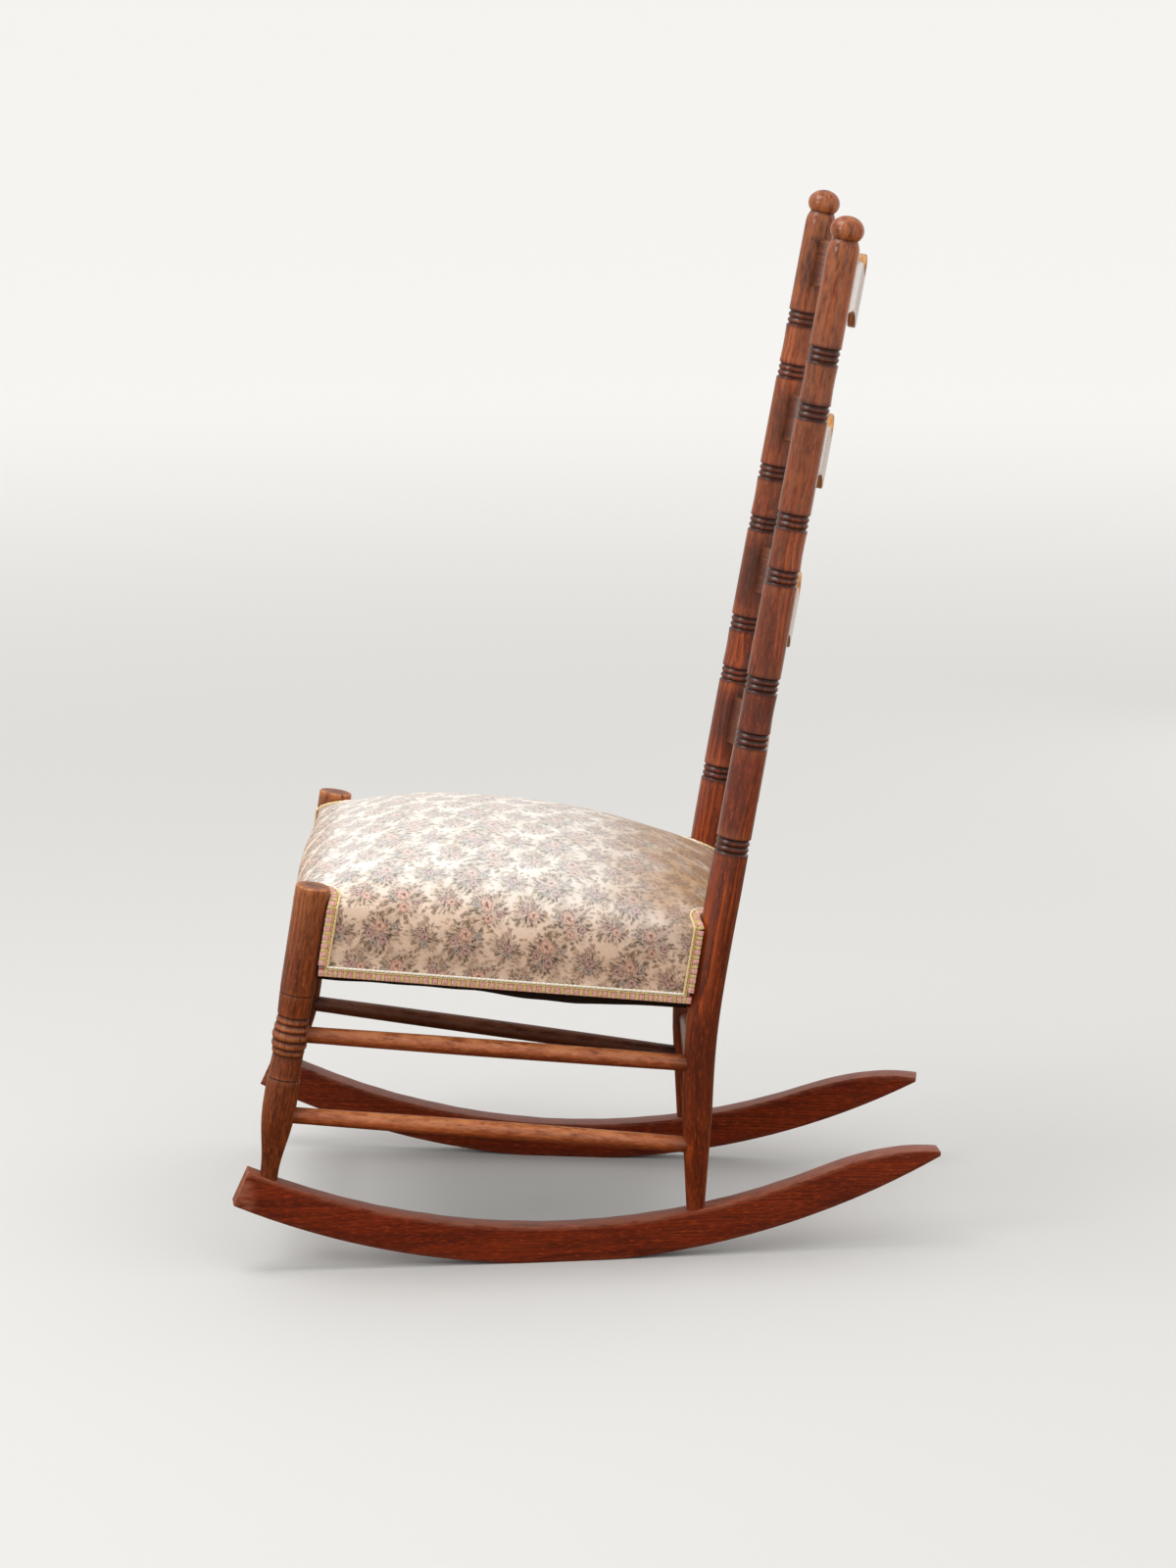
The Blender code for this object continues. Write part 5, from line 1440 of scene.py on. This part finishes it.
def makeGimp(name, first, second, block, bar):
    start = seatCrossing(first[0], first[1], 0.5 * cover["railHeight"])
    end = seatCrossing(second[0], second[1], 0.5 * cover["railHeight"])
    along = (end - start).normalized()
    outward = along.cross(up)
    origin = start - up * start.z + outward * (wallOut + gimp["standOff"] + 0.5 * gimp["blockDepth"])
    turn = Matrix((along, up, outward)).transposed().to_4x4()
    half = 0.5 * gimp["width"]
    corners = []
    for (axis, side, radius, b), way in ((first, 1.0), (second, -1.0)):
        top = wallHeight(b) - gimp["topMargin"]
        reach = way * (radius + cover["cutGap"] - gimp["tuck"] + half)
        low, high = [(seatCrossing(axis, side, height) - start).dot(along) + reach
                     for height in (0.0, top)]
        corners.append((low, high, top, way))
    (low, high, top, _), (farLow, farHigh, farTop, _) = corners
    mitre = gimp["mitre"] * half
    runs = [((high, top, 0.0), (low, mitre, 0.0), (1.0, 0.0, 0.0)),
            ((low - half, half, 0.0), (farLow + half, half, 0.0), (0.0, 1.0, 0.0)),
            ((farLow, mitre, 0.0), (farHigh, farTop, 0.0), (-1.0, 0.0, 0.0))]
    made = []
    for ends in runs:
        begin, finish, inner = [Vector(spot) for spot in ends]
        run = (finish - begin).normalized()
        side = (inner - run * inner.dot(run)).normalized()
        outside = -side * gimp["offMiddle"]
        made += layRun(block, bar, begin + outside, finish + outside, side)
    inWall = (placeSeat @ Matrix.Translation(origin) @ turn).inverted()
    collars = []
    for (axis, side, radius, _), (_, place, height, way) in ((first, corners[0]), (second, corners[1])):
        begin = Vector((place, height, 0.0))
        collars.append(collarPath(axis, side, radius, way, along, outward, begin, inWall))
        made += layPath(block, bar, *collars[-1])
    edge = half - gimp["cordIn"]
    for reach, size, material, depth in (
            (edge, gimp["cord"], paleThread, gimp["cordLift"]),
            (edge - gimp["goldIn"], gimp["goldCord"], goldThread, gimp["goldLift"])):
        ends = [[spot + inner * reach + face * depth for spot, face, inner in zip(*collar)]
                for collar in collars]
        corner = [(high + reach, top - gimp["cordTop"]), (low + reach, half + reach),
                  (farLow - reach, half + reach), (farHigh - reach, farTop - gimp["cordTop"])]
        points = ends[0][::-1] + [Vector((*spot, depth)) for spot in corner] + ends[1]
        made.append(makeCord("cord", points, size, gimp["twist"] * size / gimp["cord"], material))
    piece = joinPieces(made, name + "_braid")
    piece.data.transform(placeSeat @ Matrix.Translation(origin) @ turn)
    smoothShade(piece, 60.0)
    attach(piece, "root")
    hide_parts(name)


def makeGimps():
    high, deep = gimp["blockHeight"], gimp["blockDepth"]
    block = makeKnob("pink_block", gimp["blockWidth"], high, deep, pinkThread)
    bar = makeKnob("gold_bar", gimp["goldWidth"], high * 0.96, deep * 0.8, goldThread)
    legsAt = {side: (legAxis, side, leg["radius"], -1.0) for _, side in bothSides}
    postsAt = {side: (postAxis, side, post["seat"][1], 1.0) for _, side in bothSides}
    makeGimp("left_gimp", legsAt[1.0], postsAt[1.0], block, bar)
    makeGimp("right_gimp", postsAt[-1.0], legsAt[-1.0], block, bar)
    makeGimp("front_gimp", legsAt[-1.0], legsAt[1.0], block, bar)
    makeGimp("rear_gimp", postsAt[1.0], postsAt[-1.0], block, bar)
    for source in (block, bar):
        bpy.data.objects.remove(source, do_unlink=True)


makeGimps()
print("gimp braid done")


# Inside and under the seat: hair stuffing, hessian, webbing and the dust cover

inside = {"hessianThickness": 0.0008, "webWidth": 0.050, "webThickness": 0.0015, "weave": 0.0018,
          "weaveRun": 0.058, "longPitch": 0.095, "crossPitch": 0.100, "webCount": 3, "margin": 0.004,
          "stuffingGap": 0.0026, "padDrop": 0.04, "webLift": 0.0003, "hessianLift": 0.0006,
          "padLift": 0.0004, "dustThickness": 0.0008, "dustSag": 0.008, "dustDrop": 0.0052,
          "dustLoose": 0.0050, "looseAt": (-1.0, -0.14, 0.02, 0.12, 0.34, 0.5, 0.62, 0.9, 1.0),
          "looseBy": (0.0, 0.0, 0.45, 0.9, 1.0, 0.85, 0.55, 0.3, 0.0)}


def makeCloth(name, thread, roughness, *tones):
    material, tree, shader = startMaterial(name)
    place = ownPlace(tree)
    axes = parts(tree, scaled(tree, place, 1.0 / thread))
    warp = sineOf(tree, axes[0], math.tau)
    weft = sineOf(tree, axes[1], math.tau)
    weave = timesPlus(tree, times(tree, warp, weft), 0.5, 0.5)
    slub = noiseOn(tree, stretch(tree, place, (60.0, 500.0, 60.0)), 1.0, 3.0, 0.6)
    shade = timesPlus(tree, weave, 0.4, times(tree, slub, 0.8))
    stops = [(place, linear(*tone)) for place, tone in zip((0.25, 0.6, 0.95), tones)]
    feed(tree, shader.inputs["Base Color"], ramp(tree, shade, stops))
    setSockets(shader, {"Roughness": roughness, "Specular IOR Level": 0.2})
    roughen(tree, shader, plus(tree, weave, slub), 0.6, 0.0006)
    return material


jute = makeCloth("juteCloth", 0.0022, 0.92, (120, 92, 56), (168, 136, 92), (200, 172, 128))
dustCloth = makeCloth("dustCloth", 0.0012, 0.95, (20, 13, 10), (34, 24, 19), (50, 38, 31))


def makeHair():
    material, tree, shader = startMaterial("curledHair")
    place = ownPlace(tree)
    curl = noiseOn(tree, place, 260.0, 5.0, 0.75)
    stops = ((0.3, linear(30, 22, 18)), (0.5, linear(72, 56, 44)), (0.7, linear(128, 106, 84)))
    feed(tree, shader.inputs["Base Color"], ramp(tree, curl, stops))
    shader.inputs["Roughness"].default_value = 0.95
    roughen(tree, shader, curl, 1.0, 0.003)
    return material


def hessianFloor():
    return cover["railHeight"] + inside["hessianLift"] + inside["webThickness"] + inside["weave"]


def makeStuffing():
    piece = addGrid("seat_stuffing_pad", 40, 40)
    dropWalls(piece, 3)
    fillBottom(piece)
    flat = spotsOf(piece)
    a, b = planShares(flat)
    drop = unit(-flat[:, 2]) * inside["padDrop"]
    floor = hessianFloor() + inside["hessianThickness"] + inside["padLift"]
    coords = crownedSpots(a, b, drop, inside["stuffingGap"], floor)
    coords[drop > 0.975 * inside["padDrop"], 2] = floor
    coords[:, 2] += np.where(drop == 0.0, -0.0012 - 0.0008 * np.abs(ripple(coords, 0.02, 8)), 0.0)
    coords[:, 2] = np.maximum(coords[:, 2], floor)
    moveSpots(piece, coords)
    cleanMesh(piece)
    cutCorners(piece)
    piece.data.transform(placeSeat)
    smoothShade(piece, 60.0)
    seat(piece, ["seat_stuffing"], makeHair())


def dustDip(a, b):  # how far the dust cover hangs below the seat's plane
    rim = unit((1.0 - np.abs(a)) / 0.05) * unit((1.0 - np.abs(b)) / 0.05)
    rim = rim * rim * (3.0 - 2.0 * rim)
    loose = np.interp(b, inside["looseAt"], inside["looseBy"]) * unit((a - 0.2) / 0.6)
    middle = inside["dustSag"] * edgeEase(a) * edgeEase(b)
    return rim * (inside["dustDrop"] + np.maximum(middle, inside["dustLoose"] * loose))


def makeSheet(name, nodes, level, dip, thickness, material):
    piece = addGrid(name, 64, 64)
    flat = spotsOf(piece)
    a, b = planShares(flat)
    x, y = onPlan(seatPlan(0.5 * cover["railThickness"] - inside["margin"]), a, b)
    lowered = dip(a, b) if dip else np.zeros_like(a)
    coords = np.stack([x, y, level - lowered], axis=1)
    coords[:, 2] += 0.0008 * ripple(coords, 0.06, 11) * unit(lowered / 0.003)
    moveSpots(piece, coords)
    cleanMesh(piece)
    finishWith(piece, "SOLIDIFY", thickness=thickness, offset=0.0)
    cutCorners(piece)
    piece.data.transform(placeSeat)
    smoothShade(piece, 60.0)
    seat(piece, nodes, material)
    size = spotsOf(piece)


def strapWeave(place, own, pitch):
    total = np.zeros_like(place)
    for other in range(inside["webCount"]):
        reach = np.abs(place - (other - 0.5 * (inside["webCount"] - 1)) * pitch) / inside["weaveRun"]
        total += (-1.0) ** (own + other) * np.cos(0.5 * math.pi * np.minimum(reach, 1.0)) ** 2
    return inside["weave"] * total


def makeStrap(name, node, start, end, lift):
    piece = addGrid(name, 60, 6)
    flat = spotsOf(piece)
    along = end - start
    side = Vector((-along.y, along.x)).normalized()
    x = start.x + along.x * 0.5 * (flat[:, 0] + 1.0) + side.x * flat[:, 1] * 0.5 * inside["webWidth"]
    y = start.y + along.y * 0.5 * (flat[:, 0] + 1.0) + side.y * flat[:, 1] * 0.5 * inside["webWidth"]
    moveSpots(piece, np.stack([x, y, lift(x, y)], axis=1))
    cleanMesh(piece)
    finishWith(piece, "SOLIDIFY", thickness=inside["webThickness"], offset=0.0)
    piece.data.transform(placeSeat)
    smoothShade(piece, 60.0)
    seat(piece, [node], jute)


def makeWebbing():
    base = cover["railHeight"] + inside["webLift"] + 0.5 * inside["webThickness"]
    plan = seatPlan(0.5 * cover["railThickness"] - inside["margin"])
    middle = 0.5 * (plan[0] + plan[1])
    for own in range(inside["webCount"]):
        offset = own - 0.5 * (inside["webCount"] - 1)
        place = offset * inside["longPitch"]
        makeStrap("long_strap_%d" % (own + 1), "long_webbing_%d" % (own + 1),
                  Vector((place, plan[0])), Vector((place, plan[1])),
                  lambda x, y: base + strapWeave(y - middle, own, inside["crossPitch"]))
        along = middle + offset * inside["crossPitch"]
        share = 2.0 * (along + 0.5 * inside["webWidth"] - plan[0]) / (plan[1] - plan[0]) - 1.0
        reach = onPlan(plan, 1.0, share)[0]
        makeStrap("cross_strap_%d" % (own + 1), "cross_webbing_%d" % (own + 1),
                  Vector((reach, along)), Vector((-reach, along)),
                  lambda x, y: base - strapWeave(x, own, inside["longPitch"]))


makeStuffing()
makeSheet("seat_hessian_cloth", ["seat_hessian"], hessianFloor() + 0.5 * inside["hessianThickness"], None,
          inside["hessianThickness"], jute)
makeSheet("dust_cover_cloth", ["dust_cover"], -0.0003 - 0.5 * inside["dustThickness"], dustDip,
          inside["dustThickness"], dustCloth)
makeWebbing()
print("inside of the seat done")


# Rails and screws stay as they come, with their own finishes

def makeSteel():
    material, tree, shader = startMaterial("oldSteel")
    place = ownPlace(tree)
    rust = noiseOn(tree, place, 900.0, 4.0, 0.65)
    spot = ease(tree, rust, 0.50, 0.66)
    feed(tree, shader.inputs["Base Color"], blend(tree, spot, linear(150, 146, 140), linear(96, 58, 36)))
    feed(tree, shader.inputs["Metallic"], ease(tree, spot, 0.0, 1.0, 1.0, 0.1))
    feed(tree, shader.inputs["Roughness"], ease(tree, rust, 0.3, 0.7, 0.30, 0.75))
    roughen(tree, shader, rust, 0.4, 0.0004)
    return material


oldSteel = makeSteel()
for name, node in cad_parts.items():
    if name.endswith("_seat_rail") or name.endswith("_screw"):
        node.data.materials.clear()
        node.data.materials.append(oldSteel if name.endswith("_screw") else woods["railWood"])
print("rails and screws finished")


# Floor, light and camera

stage = {"floor": linear(208, 207, 205), "farFloor": linear(250, 249, 247),
         "nearBounce": linear(120, 84, 54), "farBounce": linear(214, 206, 196),
         "nearReach": 0.9, "farReach": 2.4, "paleFrom": 1.2, "paleTo": 7.0, "size": 160.0,
         "horizon": 0.60, "zenith": 1.08, "calmHorizon": 0.55, "calmZenith": 0.65, "backdrop": 0.86}
lamps = {"topLamp": ((0.3, -0.9, 2.7), (0.0, 0.0, 0.3), (1.2, 1.2), 24.0, (1.0, 0.99, 0.97)),
         "windowLamp": ((1.9, -2.6, 1.9), (0.0, 0.0, 0.4), (1.0, 1.0), 22.0, (1.0, 0.985, 0.96)),
         "fillLamp": ((2.8, 1.8, 1.2), (0.0, 0.0, 0.4), (2.0, 2.0), 10.0, (1.0, 0.985, 0.965)),
         "rightCard": ((-2.0, 1.7, 0.8), (0.0, 0.2, 0.7), (1.4, 1.6), 5.0, (1.0, 0.99, 0.98))}
view = {"place": (3.997, -0.0324, 1.2455), "pitch": math.radians(11.75), "yaw": math.radians(0.47),
        "lens": 99.0, "sensor": 36.0, "farEnd": 300.0}


def makeStage():
    deselectAll()
    bpy.ops.mesh.primitive_plane_add(size=stage["size"], location=(0.0, 0.0, 0.0))
    floor = namePiece("pale_floor")
    material, tree, shader = startMaterial("paleFloor")
    away = vectorCalc(tree, "LENGTH", ownPlace(tree))
    far = ease(tree, away, stage["nearReach"], stage["farReach"])
    bounce = blend(tree, far, stage["nearBounce"], stage["farBounce"])
    seen = addNode(tree, "ShaderNodeLightPath").outputs["Is Camera Ray"]
    pale = ease(tree, away, stage["paleFrom"], stage["paleTo"])
    shown = blend(tree, pale, stage["floor"], stage["farFloor"])
    feed(tree, shader.inputs["Base Color"], blend(tree, seen, bounce, shown))
    setSockets(shader, {"Roughness": 0.75, "Specular IOR Level": 0.15})
    floor.data.materials.append(material)
    world = bpy.data.worlds.new("studio")
    world.use_nodes = True
    bpy.context.scene.world = world
    tree = world.node_tree
    back = tree.nodes["Background"]
    path = addNode(tree, "ShaderNodeLightPath")
    height = parts(tree, addNode(tree, "ShaderNodeTexCoord").outputs["Generated"])[2]
    sky = ease(tree, height, 0.0, 0.8, stage["horizon"], stage["zenith"])  # brighter overhead
    seen = path.outputs["Is Camera Ray"]
    back.inputs["Color"].default_value = (1.0, 0.995, 0.985, 1.0)
    calm = ease(tree, height, 0.1, 0.9, stage["calmHorizon"], stage["calmZenith"])
    shiny = path.outputs["Is Glossy Ray"]
    sky = timesPlus(tree, shiny, calc(tree, "SUBTRACT", calm, sky), sky)
    lit = times(tree, sky, calc(tree, "SUBTRACT", 1.0, seen))
    feed(tree, back.inputs["Strength"], timesPlus(tree, seen, stage["backdrop"], lit))


def addLamp(name, place, aim, size, power, colour):
    deselectAll()
    bpy.ops.object.light_add(type="AREA", location=place)
    lamp = bpy.context.object
    lamp.name = name
    lamp.data.shape = "RECTANGLE"
    lamp.data.size, lamp.data.size_y = size
    lamp.data.energy = power
    lamp.data.color = colour
    lamp.visible_camera = False
    lamp.rotation_euler = (Vector(aim) - Vector(place)).to_track_quat("-Z", "Y").to_euler()


def makeCamera():
    pitch, yaw = view["pitch"], view["yaw"]
    ahead = Vector((-math.cos(pitch) * math.cos(yaw), math.cos(pitch) * math.sin(yaw), -math.sin(pitch)))
    deselectAll()
    bpy.ops.object.camera_add(location=view["place"])
    camera = bpy.context.object
    camera.rotation_euler = ahead.to_track_quat("-Z", "Y").to_euler()
    camera.data.lens = view["lens"]
    camera.data.sensor_width = view["sensor"]
    camera.data.clip_end = view["farEnd"]
    bpy.context.scene.camera = camera


makeStage()
for name, settings in lamps.items():
    addLamp(name, *settings)
makeCamera()
bpy.context.scene.view_settings.view_transform = "Standard"
print("stage set")
